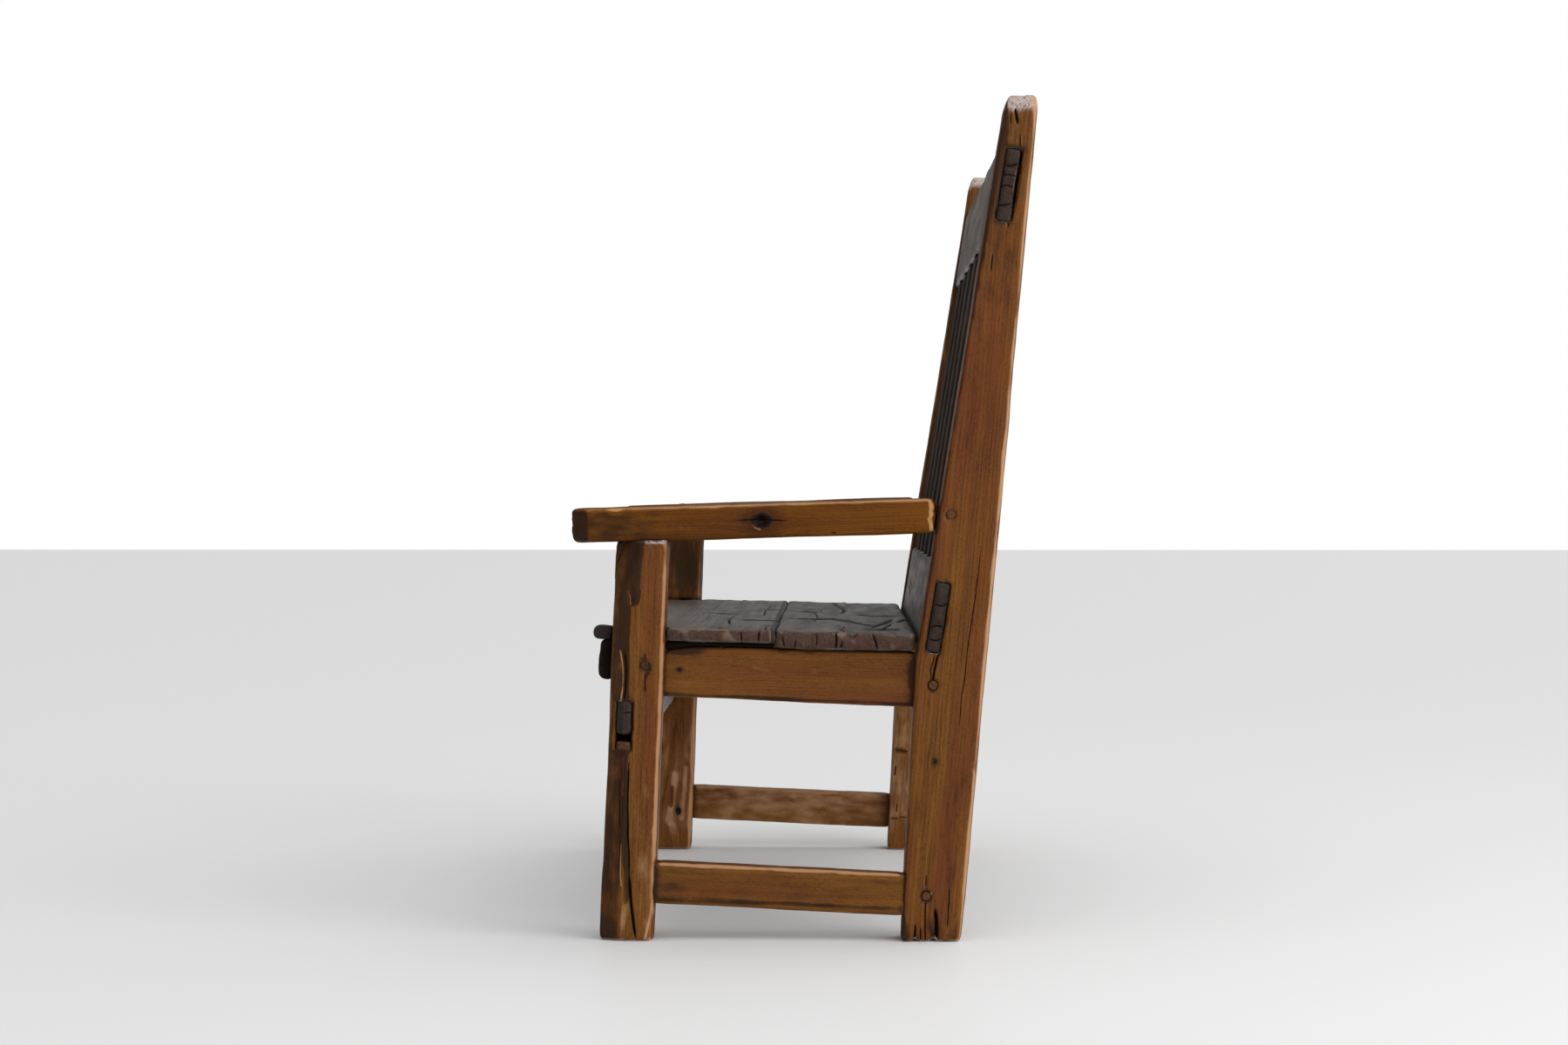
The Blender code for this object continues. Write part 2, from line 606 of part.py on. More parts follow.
def back_slats(foot, head, lower, crest):
    """Upright slats, evenly spaced, with shouldered tenons in the two back rails."""
    gap = (2 * POST_INNER - SLAT_COUNT * SLAT_WIDTH) / (SLAT_COUNT + 1)
    front = BACK_RAIL_SETBACK + SLAT_SETBACK
    back = front + SLAT_THICKNESS
    tenon_front = front + (SLAT_THICKNESS - SLAT_TENON_THICKNESS) / 2
    shoulder = SLAT_WIDTH / 2
    cheek = shoulder - SLAT_SHOULDER
    for index in range(SLAT_COUNT):
        name = f"back_slat_{index + 1}"
        middle = POST_INNER - gap - shoulder - index * (gap + SLAT_WIDTH)
        frame = BACK_FRAME @ Matrix.Translation((middle, 0, 0))
        slat = box(name, frame, (-shoulder, front, foot + FIT), (shoulder, back, head - FIT))
        soften(slat, BOARD_ARRIS)
        corners = ((-cheek, tenon_front, foot - SLAT_TENON_LENGTH),
                   (cheek, tenon_front + SLAT_TENON_THICKNESS, head + SLAT_TENON_LENGTH))
        add(slat, box(name + "_tenons", frame, *corners))
        timber(slat, SMOKED, WEATHERED)
        mortise = box(name + "_mortises", frame, *corners, grow=FIT)
        cut(lower, mortise)
        cut(crest, mortise)


# Seat

def worn_section(x, nose, share):
    """Three points round the front top edge of the seat, past the edge on both faces."""
    top = Vector((x, nose + NOSE_WEAR_ALONG * share, 0))
    front = Vector((x, nose, -NOSE_WEAR_DROP * share))
    run = top - front
    return [top + run, front - run, Vector((x, nose - NOSE_WEAR_ALONG, NOSE_WEAR_DROP))]


def nose_wear(nose):
    """The slope worn off the front edge between the posts, shallower beside them."""
    end = POST_INNER - SCRIBE_GAP
    full = end - NOSE_WEAR_FADE
    sections = []
    for side in SIDES.values():
        sections += worn_section(side * end, nose, NOSE_WEAR_AT_POST)
        sections += worn_section(side * full, nose, 1)
    return hull("seat_nose_wear", SEAT_FRAME, sections)


def packing_outline(joint):
    """Side of a packing strip, which fills the space between the front board and the end rail."""
    crown = seat_rail_crown() + Vector((0, 0, FIT))
    front_face = moved(FRONT_POST_BACK, y=FIT)
    fall = line(crown.y, crown.z, pi / 2 - SEAT_RAIL_DROP)
    under_board = -FRONT_BOARD_THICKNESS - FIT
    back = joint - BOARD_GAP
    return flat(meet(front_face, frame_line(SEAT_FRAME, under_board)), meet(front_face, fall), crown,
                SEAT_FRAME @ Vector((0, back, -REAR_BOARD_THICKNESS)),
                SEAT_FRAME @ Vector((0, back, under_board)))


def seat_boards(rails):
    """Two boards on the end rails: a thin front one on packing strips and a thicker one behind it."""
    end = HALF - SEAT_END_INSET
    nose = local(SEAT_FRAME, meet(FRONT_POST_FRONT, frame_line(SEAT_FRAME, 0))).y - NOSE_OVERHANG
    joint = nose + FRONT_BOARD_DEPTH
    thickness = FRONT_BOARD_THICKNESS
    outline = [(joint, 0)]
    outline += arc(nose + NOSE_TOP_RADIUS, -NOSE_TOP_RADIUS, NOSE_TOP_RADIUS, 90, 180)
    outline += arc(nose + NOSE_BOTTOM_RADIUS, NOSE_BOTTOM_RADIUS - thickness, NOSE_BOTTOM_RADIUS, 180, 270)
    outline += [(joint, -thickness)]
    front = soften(prism("seat_board_front", SEAT_FRAME, "YZ", outline, -end, end), BOARD_ARRIS)
    cut(front, nose_wear(nose))
    back_edge = local(SEAT_FRAME, KNEE).y - FIT
    rear = box("seat_board_rear", SEAT_FRAME, (-end, joint + BOARD_GAP, -REAR_BOARD_THICKNESS),
               (end, back_edge, 0))
    soften(rear, BOARD_ARRIS)
    rail_outer = HALF - SEAT_RAIL_INSET
    for name, side in SIDES.items():
        notch_front = moved(FRONT_POST_FRONT, y=-SCRIBE_GAP)
        notch_back = moved(FRONT_POST_BACK, y=SCRIBE_GAP)
        notch = flat(meet(notch_front, level(0)), meet(notch_back, level(0)),
                     meet(notch_back, level(ARM_UNDERSIDE)), meet(notch_front, level(ARM_UNDERSIDE)))
        cut(front, prism(f"seat_notch_{name}", WORLD, "YZ", notch,
                         *span(side, POST_INNER - SCRIBE_GAP, HALF + CUT_MARGIN)))
        horn_x = span(side, HALF - APRON_LAP, HALF + CUT_MARGIN)
        cut(front, box(f"seat_horn_{name}", SEAT_FRAME,
                       (horn_x[0], nose - CUT_MARGIN, -thickness - CUT_MARGIN),
                       (horn_x[1], nose + NOSE_OVERHANG + CUT_MARGIN, CUT_MARGIN)))
        strip_x = span(side, rail_outer - SEAT_RAIL_THICKNESS + PACKING_INSET, rail_outer - PACKING_INSET)
        strip = prism(f"seat_packing_{name}", WORLD, "YZ", packing_outline(joint), *strip_x)
        timber(strip, DARK_PEG, WEATHERED)
        middle = seat_rail_middle(side)
        peg(f"seat_front_peg_{name}", SEAT_FRAME, (middle, SEAT_PEG_FRONT_Y, 0), (0, 0, -1),
            SEAT_PEG_LENGTH, SEAT_PEG_DIAMETER, (front, strip, rails[name]))
        peg(f"seat_rear_peg_{name}", SEAT_FRAME, (middle, SEAT_PEG_REAR_Y, 0), (0, 0, -1),
            SEAT_PEG_LENGTH, SEAT_PEG_DIAMETER, (rear, rails[name]))
    timber(front, GREY_BROWN, WEATHERED)
    timber(rear, GREY_BROWN, WEATHERED)


def seat_apron(posts):
    """A beaded board under the nose of the seat, lapped on the front posts and pegged to them."""
    under_seat = frame_line(SEAT_FRAME, -FRONT_BOARD_THICKNESS - FIT)
    face = -FIT - APRON_THICKNESS
    bead = face - APRON_BEAD_PROUD
    top_back = local(FRONT_FRAME, meet(moved(FRONT_POST_FRONT, y=-FIT), under_seat))
    top_front = local(FRONT_FRAME, meet(moved(FRONT_POST_FRONT, y=face), under_seat))
    foot = top_back.z - APRON_DEPTH
    bead_top = foot + APRON_BEAD_DEPTH
    outline = [(-FIT, foot), (-FIT, top_back.z), (face, top_front.z), (face, bead_top), (bead, bead_top)]
    outline += arc(bead + APRON_BEAD_RADIUS, foot + APRON_BEAD_RADIUS, APRON_BEAD_RADIUS, 180, 270)
    end = HALF - APRON_LAP
    apron = soften(prism("seat_apron", FRONT_FRAME, "YZ", outline, -end, end), BOARD_ARRIS)
    for name, side in SIDES.items():
        head = (side * (POST_INNER + APRON_PEG_INSET), bead, foot + APRON_BEAD_DEPTH / 2)
        peg(f"apron_peg_{name}", FRONT_FRAME, head, (0, 1, 0), APRON_PEG_LENGTH, SEAT_PEG_DIAMETER,
            (apron, posts[name]))
    timber(apron, SMOKED, WEATHERED)


def build_bench():
    front_posts = {name: front_post(f"front_post_{name}", side) for name, side in SIDES.items()}
    rear_posts = {name: rear_post(f"rear_post_{name}", side) for name, side in SIDES.items()}
    rails = {}
    for name, side in SIDES.items():
        front, rear = front_posts[name], rear_posts[name]
        rails[name] = seat_rail(f"seat_rail_{name}", side, (front, rear))
        low = stretcher(f"stretcher_{name}", side, (front, rear))
        arm(f"arm_{name}", side, front, rear)
        end_rail_pegs(name, side, front, rear, rails[name], low)
    front_rail(front_posts)
    crest_head = local(BACK_FRAME, REAR_TOP).z - CREST_DROP
    crest_foot = crest_head - CREST_DEPTH
    lower = back_rail("lower_back_rail", 0, LOWER_RAIL_DEPTH, LOWER_TENON_RISE, LOWER_TENON_HEIGHT, 0,
                      rear_posts)
    crest_tenon_foot = crest_head - CREST_TENON_DROP - CREST_TENON_HEIGHT
    crest = back_rail("crest_rail", crest_foot, CREST_DEPTH, crest_tenon_foot, CREST_TENON_HEIGHT,
                      CREST_MORTISE_SLACK, rear_posts)
    back_slats(LOWER_RAIL_DEPTH, crest_foot, lower, crest)
    seat_boards(rails)
    seat_apron(front_posts)


build_bench()
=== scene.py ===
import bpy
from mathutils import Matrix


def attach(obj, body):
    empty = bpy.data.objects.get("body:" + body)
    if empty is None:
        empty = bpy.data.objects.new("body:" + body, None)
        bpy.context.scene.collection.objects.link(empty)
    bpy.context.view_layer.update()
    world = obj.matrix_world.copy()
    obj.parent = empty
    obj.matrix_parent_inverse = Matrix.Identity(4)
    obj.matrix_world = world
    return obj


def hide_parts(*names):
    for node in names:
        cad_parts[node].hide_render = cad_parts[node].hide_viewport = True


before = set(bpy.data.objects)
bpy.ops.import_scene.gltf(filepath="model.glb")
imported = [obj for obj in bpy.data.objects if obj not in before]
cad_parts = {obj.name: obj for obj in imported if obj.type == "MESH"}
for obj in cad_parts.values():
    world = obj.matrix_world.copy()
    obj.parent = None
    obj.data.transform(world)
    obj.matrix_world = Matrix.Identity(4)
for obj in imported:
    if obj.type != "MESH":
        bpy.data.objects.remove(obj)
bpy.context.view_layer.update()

import zlib
from itertools import product
from math import radians

import bmesh
import bpy
import numpy as np
from mathutils import Matrix, Vector
from mathutils.bvhtree import BVHTree

# The bench's frame has +Z up and the front of the bench towards -Y, and the photo shows the +X end.
# A piece's own axes are that frame turned by the lean of the piece. Lengths are metres, leans are
# degrees back from upright.

# Families of pieces: grain axis, lean, mesh pitch, look, material slot, unevenness of the faces.
FAMILIES = {
    "front_post": ("Z", 2.25, 0.0030, "frame", "frame_timber", 0.0011),
    "rear_post": ("Z", 5.2, 0.0031, "frame", "frame_timber", 0.0010),
    "arm": ("Y", -1.7, 0.0030, "arm", "frame_timber", 0.0009),
    "seat_rail": ("Y", 1.3, 0.0030, "rail", "frame_timber", 0.0008),
    "stretcher": ("Y", 2.65, 0.0031, "rail", "frame_timber", 0.0010),
    "seat_board": ("X", 1.3, 0.0042, "seat", "seat_timber", 0.0014),
    "crest_rail": ("X", 9.15, 0.0038, "back", "back_timber", 0.0009),
    "lower_back_rail": ("X", 9.15, 0.0038, "back", "back_timber", 0.0009),
    "front_rail": ("X", 2.25, 0.0038, "back", "back_timber", 0.0009),
    "seat_apron": ("X", 2.25, 0.0034, "slat", "back_timber", 0.0008),
    "back_slat": ("Z", 9.15, 0.0040, "slat", "back_timber", 0.0006),
    "peg": ("X", 2.0, 0.0011, "peg", "peg_timber", 0.0002),
    "wedge": ("X", 2.25, 0.0013, "peg", "peg_timber", 0.0003),
    "packing": ("Y", 1.3, 0.0022, "slat", "peg_timber", 0.0003),
}
SMALL_KINDS = ("peg", "wedge", "packing")
LONG_RAILS = ("crest_rail", "lower_back_rail", "front_rail")
SHOULDERED = ("stretcher", "seat_rail", "front_post", *LONG_RAILS)
# Pegs named here get no painted contact shade and dirt round them.
SMOOTH_PEGS = "arm_rear_peg"  # pegs with no dark ring round them
AXES = {"X": (0, 1, 2), "Y": (1, 0, 2), "Z": (2, 0, 1)}  # the grain axis, then the two across it

# Looks: display colours from 0 to 255, ring pitch in metres, strength of the rings, the fine lines, the
# speckle and the dark patches, roughness, gloss, and the number of drying checks placed at random.
LOOKS = {
    "frame": dict(
        light=(123, 79, 20), warm=(104, 53, 21), dark=(55, 29, 11), stain=(34, 19, 8),
        pale=(176, 134, 98), end=(186, 172, 165), ring=0.0027, contrast=0.22, lines=1.0,
        speckle=1.2, patches=0.2, roughness=0.44, gloss=0.13, checks=1),
    "arm": dict(
        light=(110, 64, 5), warm=(94, 50, 5), dark=(58, 28, 6), stain=(30, 15, 6),
        pale=(178, 130, 82), end=(112, 78, 46), ring=0.0027, contrast=0.18, lines=0.9,
        speckle=1.2, patches=0.16, roughness=0.40, gloss=0.10, checks=1),
    "seat": dict(
        light=(96, 87, 80), warm=(81, 72, 65), dark=(44, 38, 34), stain=(16, 12, 10),
        pale=(116, 94, 78), end=(66, 36, 15), ring=0.0034, contrast=0.45, lines=1.2,
        speckle=1.1, patches=0.6, roughness=0.46, gloss=0.44, checks=5),
    "back": dict(
        light=(90, 76, 64), warm=(78, 63, 51), dark=(46, 36, 29), stain=(22, 15, 11),
        pale=(120, 100, 82), end=(50, 25, 8), ring=0.0032, contrast=0.4, lines=1.2,
        speckle=0.9, patches=0.5, roughness=0.44, gloss=0.34, checks=3),
    "slat": dict(
        light=(41, 28, 18), warm=(35, 22, 13), dark=(21, 13, 8), stain=(12, 8, 5),
        pale=(66, 48, 34), end=(40, 26, 17), ring=0.0032, contrast=0.4, lines=1.0,
        speckle=0.8, patches=0.4, roughness=0.6, gloss=0.09, checks=1),
    "peg": dict(
        light=(98, 62, 32), warm=(86, 50, 24), dark=(54, 31, 14), stain=(24, 15, 8),
        pale=(134, 98, 66), end=(96, 60, 33), ring=0.0018, contrast=0.4, lines=1.0,
        speckle=0.9, patches=0.3, roughness=0.5, gloss=0.18, checks=0),
}
LOOKS["rail"] = dict(
    LOOKS["frame"], light=(118, 76, 19), warm=(100, 52, 20), contrast=0.12, lines=0.5, patches=0.35)
SPLIT_COLOUR = (14, 9, 6)
KNOT_COLOUR = (30, 16, 9)

# Marks of wear, and painted light and shade, on single pieces. Lengths in these tables are millimetres.
MILLI = 1000
# Splits of a piece in one of its faces: half width, depth, then points in the plane of the face.
SPLITS = {
    ("front_post_left", "+x"): [
        (2, 7, (-259.5, 420), (-257.2, 390), (-257.5, 362), (-260.5, 345)),
        (1.4, 6, (-252.5, 262), (-253.5, 190), (-252.5, 120), (-251.5, 85)),
        (2.5, 8, (-251.5, 98), (-249.5, 65), (-245.5, 28), (-242, 0)),
        (1, 4, (-265.5, 240), (-264.5, 160), (-266.5, 90)),
        (1, 4, (-228.5, 388), (-228.2, 357)),
    ],
    ("rear_post_left", "+x"): [
        (0.7, 3, (254, 575), (247, 505), (236, 427), (226, 352), (221, 305)),
        (1.9, 6, (193.5, 420), (187, 395), (184.5, 366)),
        (0.9, 3, (190, 425), (181, 390), (183, 372)),
        (1, 3, (270, 988), (268, 962)),
        (2.8, 5, (302, 1196), (304.5, 1183), (306.2, 1173)),
        (0.9, 3, (296.5, 1190), (295.5, 1172)),
        (1.1, 4, (308.5, 1158), (309.5, 1141)),
        (1.9, 7, (313.5, 1138), (309.5, 1102.5), (305.2, 1077.5), (299.5, 1044)),
        (0.9, 3, (291.8, 1035), (291.5, 1024)),
        (1, 3, (174.5, 98), (174, 80)),
        (1.2, 5, (174.5, 60), (174.2, 30), (173.8, -10)),
        (3.4, 9, (187.5, 50), (189.5, 30), (189.5, -20)),
        (2, 5, (159, 27), (160, -10)),
        (1.1, 5, (167.5, 20), (168, -10)),
        (0.9, 4, (208.5, 80), (206, 40), (204.5, 20)),
    ],
    ("arm_left", "+x"): [(0.9, 3, (-100, 605), (-81, 606), (-47, 607.5), (-20, 605))],
    ("seat_board_front", "+x"): [
        (1, 6, (-91.3, 455), (-90.5, 425)),
        (1.4, 8, (-64.5, 455), (-65, 425)),
    ],
    ("seat_board_rear", "+x"): [
        (1.4, 4, (-31, 440), (-29, 422)),
        (1.1, 4, (-12, 436), (-14, 420)),
        (1, 3, (17, 447), (19, 432), (16.5, 424)),
        (1.7, 9, (45.5, 455), (47.2, 437), (45, 410)),
        (1.2, 6, (56, 432), (52.5, 422), (54, 410)),
        (1.4, 8, (98.5, 444), (103, 436), (105.5, 410)),
    ],
    ("crest_rail", "+x"): [
        (1.8, 4, (283, 1116), (295, 1112.5), (307, 1117)),
        (1, 3, (282, 1101), (294, 1102), (305, 1100)),
        (1.2, 3, (280, 1084), (291, 1087), (302, 1083)),
        (1.8, 4, (275, 1058), (287, 1057), (298, 1059)),
        (2.2, 8, (311.5, 1134), (307.8, 1102.5), (303.5, 1077.5), (298, 1050)),
    ],
    ("lower_back_rail", "+x"): [
        (1.4, 4, (185, 486), (197, 482), (209, 487)),
        (1.6, 4, (180, 452), (191, 455), (204, 451)),
        (1.2, 4, (178, 436), (189, 433), (200, 437)),
    ],
    ("front_rail", "+x"): [(1.2, 3, (-260.5, 328), (-253, 329), (-243, 328.5))],
    ("seat_board_front", "+z"): [
        (2.4, 7.5, (448, -122.1), (292, -129.3), (176, -129.5), (90, -124.3)),
        (1.6, 6.3, (592, -66), (500, -67), (430, -64)),
        (1.8, 5, (100, -80), (-120, -83), (-350, -78)),
    ],
    ("seat_board_rear", "+z"): [
        (3.9, 8.8, (-584, 17.4), (-521, 30.3), (-392, 41.4), (-269, 49), (-152, 50.4), (-58, 43.1)),
        (2.1, 7.5, (592, 46.5), (500, 43), (420, 50)),
        (3.9, 8.8, (439, 88.8), (297, 106.1), (133, 126.2)),
        (3.9, 8.8, (246, 129.8), (163, 142.2), (75, 159.4)),
        (2.1, 6.3, (560, 98), (400, 112), (280, 121)),
        (1.8, 5, (300, 2), (50, 6), (-150, -2)),
    ],
}
# Low steps in the top of the seat, seen from its left end: height, run-out, then points on the top.
STEPS = {
    "seat_board_rear": [
        (2.6, 60, (202, -44.7), (186, -29.3), (132, -9.3), (127, 11.4), (156, 32.2), (221, 52.8),
         (296, 79.4), (384, 98.5)),
        (2.2, 40, (500, 70), (470, 100), (440, 135)),
        (1.6, 50, (-100, -40), (-130, -15), (-120, 12)),
        (1.6, 50, (-50, 70), (0, 100), (-20, 140)),
    ],
    "seat_board_front": [
        (1.4, 50, (260, -112), (275, -85), (262, -52)),
        (1.4, 50, (-150, -100), (-177, -75), (-170, -50)),
        (1.2, 50, (20, -175), (50, -150), (30, -118)),
    ],
}
# One knot in the +X face of a piece: radius, then its centre in the plane of the face.
KNOTS = {
    "arm_left": (11.8, (-61.6, 605)),
    "rear_post_left": (3.4, (188, 260)),
    "seat_rail_left": (3.2, (-180, 390)),
    "seat_board_front": (2.8, (-177.5, 441)),
    "seat_board_rear": (4.2, (70.6, 442.5)),
    "front_post_right": (5.2, (-239.7, 69.5)),
}
# Pale places, above 0, and dark ones, below 0: strength, centre, radii. Some are painted light and
# shadows.
PLACES = {
    "rear_post_left": [
        (0.45, (600, 316, 1214), (80, 50, 30)),
        (-0.45, (600, 180, 22), (30, 8, 40)),
        (-0.9, (600, 142, 12), (30, 8, 30)),
        (0.9, (600, 177.5, 8), (30, 5, 10)),
        (-0.15, (600, 221, 80), (40, 16, 160)),
        (-0.35, (600, 275, 1020), (100, 80, 200)),
        (-0.25, (600, 300, 1140), (100, 60, 80)),
        (-0.15, (600, 190, 200), (50, 80, 200)),
    ],
    "rear_post_right": [
        (-0.4, (-600, 316, 1214), (80, 50, 30)),
        # painted light lifting the shaded inner face of the far rear post
        (0.45, (-550, 180, 150), (100, 100, 300)),
    ],
    "arm_left": [
        (-0.5, (600, -290, 600), (200, 130, 100)),
        (0.9, (600, -272, 619), (20, 14, 6)),
    ],
    "front_post_left": [
        (0.6, (600, -262, 22), (40, 14, 75)),
        (0.6, (600, -226.5, 12), (20, 7, 30)),
        (0.28, (600, -233, 150), (50, 25, 200)),
    ],
    "front_rail": [(-0.3, (600, -254, 320), (30, 50, 60))],
    # painted light lifting the shaded far stretcher
    "stretcher_right": [(0.43, (-560, -30, 100), (100, 400, 100))],
    "stretcher_left": [
        (-0.3, (600, -195, 85), (50, 30, 35)),
        (-0.22, (600, -30, 75), (50, 400, 30)),
    ],
    "front_post_right": [
        # painted light lifting the shaded lower far front post
        (0.28, (-550, -240, 120), (100, 100, 250)),
        # painted shadow of the arm on the upper far front post
        (-0.9, (-550, -220, 520), (100, 100, 100)),
    ],
    "seat_rail_left": [
        # painted shadow of the rear post on the rail's end
        (-0.9, (580, 158, 380), (50, 14, 60)),
        # painted shade under the seat at the rail's front top
        (-1.2, (570, -175, 419), (50, 50, 10)),
    ],
    "seat_board_front": [
        (0.4, (600, -112, 440), (20, 10, 10)),
        # painted shadow of the front posts on both ends of the seat's nose
        (-1.6, (567, -300, 445), (40, 35, 40)),
        (-1.6, (-567, -300, 445), (40, 35, 40)),
    ],
    "seat_board_rear": [
        (0.8, (600, 55, 444.5), (20, 10, 6)),
        (0.55, (600, 66, 434), (20, 9, 5)),
        (0.6, (600, 127, 441), (20, 7, 5)),
        (-1.5, (-585, 80, 450), (60, 35, 30)),
    ],
    # painted shadow of the front post on the apron's end
    "seat_apron": [(-0.8, (567, -290, 400), (30, 50, 70))],
    "seat_rail_front_peg_left": [(-0.45, (600, -227, 397.5), (30, 20, 20))],
    # packing painted dark as the shade in the gap under the front seat board
    "seat_packing_left": [(-1.5, (570, -100, 420), (200, 400, 200))],
    "seat_packing_right": [(-1.5, (-570, -100, 420), (200, 400, 200))],
    "crest_rail": [(-0.35, (600, 285, 1090), (20, 60, 90))],
    "lower_back_rail": [(-0.35, (600, 195, 475), (20, 60, 90))],
}
# Pale and dark lines on the +X face of a piece: strength, half width, or two where the ends differ,
# then points in the plane of the face.
# Some of these lines are painted highlights and painted shade, as marked.
STROKES = {
    "front_post_left": [
        (1.9, (1.4, 1.8), (-265, 418), (-261.5, 402), (-260, 384), (-260.8, 365), (-264.5, 342)),
        (-1.4, (14, 12.5), (-240.5, 575), (-244.5, 530), (-245.5, 492)),
        (-1.2, (12, 9), (-258.5, 488), (-257, 460), (-262, 425)),
        (2.2, (1, 1.6), (-252.5, 503.5), (-250, 494), (-249.8, 485)),
        (-2.0, (4, 3), (-238.5, 503.5), (-241, 490)),
        (-0.9, 6.5, (-256.5, 500), (-256, 400), (-257, 250), (-255, 60)),
        (1.8, (0.7, 1), (-264, 165), (-263.6, 130), (-264.5, 100), (-263, 80)),
        (1.5, 0.7, (-260.8, 272), (-260.4, 240), (-261, 210)),
        (-1.4, (1.5, 4), (-227.5, 413), (-229, 406)),
        (-1.6, (4, 1.2), (-223, 392), (-226.5, 380)),
        (1.5, (0.8, 2.2), (-215.5, 70), (-221.5, 35), (-229, 4)),
    ],
    "rear_post_left": [
        (-1.5, (6, 8.8), (288, 1215), (285, 1165), (281, 1140), (276.5, 1115)),
        (-1.4, (8.8, 3.5), (276.5, 1115), (270.5, 1090), (266, 1065), (260.5, 1027.5), (254.5, 985)),
        (-0.8, 3.5, (254.5, 985), (231, 840), (205, 680), (162, 415)),
        (0.9, 1, (311.2, 1156), (311.8, 1144)),
        (0.9, 0.9, (289.5, 1034), (289.2, 1027)),
        (2.2, 1, (179.5, 74.5), (182, 71.5), (182.8, 68)),
        (-0.6, 3.5, (150, 190), (147.5, 130), (142, 30)),
        (-0.2, (4, 7), (206, 200), (208, 100), (205, 30)),
    ],
    "crest_rail": [
        (1.1, 0.9, (310.5, 1134), (305, 1105)),
        (1.1, 0.9, (304.5, 1112.5), (299, 1078)),
        (0.8, 0.9, (287, 1109.5), (300, 1108.5)),
    ],
    "front_rail": [(-1.6, (4, 4.5), (-263.2, 350), (-264, 325), (-265, 295))],
    "arm_left": [
        # painted highlight along the top edge
        (0.75, 4, (-330, 619.5), (-100, 628), (180, 636.5)),
        (1.5, (1.2, 1.8), (-75, 601), (-70.5, 595.5), (-63.5, 592.5)),
        (-2.2, 1.8, (41, 588.5), (44, 588)),
        (1.7, (4, 2.8), (181.5, 637), (183.5, 622), (180.5, 607), (183.5, 592)),
    ],
    # painted shade along the lower edge
    "seat_rail_left": [(-0.9, 4, (-200, 355), (150, 340))],
    "stretcher_left": [
        # painted highlight along the top arris
        (0.7, 4.2, (-210, 110.5), (138, 97)),
        # painted shade along the lower edge
        (-0.6, 5, (-210, 60), (138, 47.5)),
    ],
    "seat_board_front": [
        # painted highlight along the top arris of the end
        (1.6, 1.6, (-190, 450), (-50, 448.2)),
        (1.6, 1.8, (-48.5, 450), (-48, 431)),
    ],
    # painted highlight along the top arris of the end
    "seat_board_rear": [(1.0, (1.8, 1.2), (-43, 448.2), (45, 447.2))],
    "front_post_right": [
        (-0.7, 6.5, (-240.5, 246), (-249.9, 183), (-253.1, 148)),
        (-0.6, 4, (-229.5, 269), (-238.9, 199)),
        (-0.9, 3, (-256.2, 143.5), (-268.8, 80.5)),
        (0.35, (7.5, 9), (-245.2, 135.6), (-256.2, 49)),
        (0.4, 6, (-224.7, 148.2), (-234.2, 56.9)),
        (-1.1, (5.5, 4.5), (-251.5, 112), (-253.1, 80.5)),
        (0.3, 12, (-249.9, 41.2), (-240.5, 1.8)),
    ],
    "rear_post_right": [
        # painted shade on the inner face of the far rear post
        (-0.9, 30, (286.6, 1130), (173, 430)),
        (-1.7, (4.5, 4), (157, 180.5), (171.5, 178.5)),
        (-1.9, 2, (153.5, 149), (152, 137)),
        (-1.6, 1.6, (156.2, 81), (155.5, 71.5)),
        (-2.0, 1.6, (147, 57.2), (156, 56.9)),
        (-1.6, 1.4, (162.5, 59), (171.5, 59.5)),
    ],
}
# Bites out of the corners of a piece: depth, centre, radii.
BITES = {
    "front_post_left": [
        (5.5, (600, -214.5, 12), (12, 11, 50)),
        (3, (600, -213, 45), (8, 7, 20)),
        (3, (600, -250, 500), (6, 8, 20)),
        (3, (600, -247, 490), (6, 5, 8)),
    ],
    "rear_post_left": [
        (3, (600, 244, 252), (8, 6, 14)),
        (6, (600, 185, 0), (20, 7, 20)),
        (4, (600, 160, 0), (20, 6, 12)),
    ],
    "arm_left": [
        (4, (600, 186, 633), (12, 6, 5)),
        (3.5, (600, 187, 619), (12, 5, 4)),
        (4.5, (600, 186, 605), (12, 7, 5)),
        (8, (599, -61.6, 605), (12, 10, 10)),
    ],
    "seat_board_rear": [
        (6, (590, 70.6, 442.5), (20, 6, 4)),
        (5, (590, 145, 447), (30, 35, 9)),
    ],
    "front_post_right": [(6, (-534, -240, 68), (10, 7, 10))],
    "stretcher_left": [(2, (597, 40, 98), (6, 10, 4))],
}

# Noise for shapes: numbers that scramble the cells.
NOISE_STRIDES = (73856093, 19349663, 83492791)
NOISE_SALT = 2654435761
NOISE_MIX = 1274126177


def noise(points, seed):
    """Smooth random values from -1 to 1 at an array of points."""
    cell = np.floor(points).astype(np.int64)
    part = points - cell
    part = part * part * (3 - 2 * part)
    total = np.zeros(len(points))
    salt = (seed * NOISE_SALT) & 0x7FFFFFFF
    for corner in product((0, 1), repeat=3):
        key = (cell + np.array(corner)) * NOISE_STRIDES
        mixed = key[:, 0] ^ key[:, 1] ^ key[:, 2] ^ salt
        mixed = (mixed ^ (mixed >> 13)) * NOISE_MIX
        mixed = mixed ^ (mixed >> 16)
        weight = np.prod(np.where(corner, part, 1 - part), axis=1)
        total += weight * ((mixed & 0xFFFF) / 0x8000 - 1.0)
    return total


def smooth(values, low, high):
    """0 below low, 1 above high, and a soft step between."""
    t = np.clip((values - low) / (high - low), 0, 1)
    return t * t * (3 - 2 * t)


def fade(values, low, high):
    """1 below low, 0 above high, and a soft step between."""
    return 1 - smooth(values, low, high)


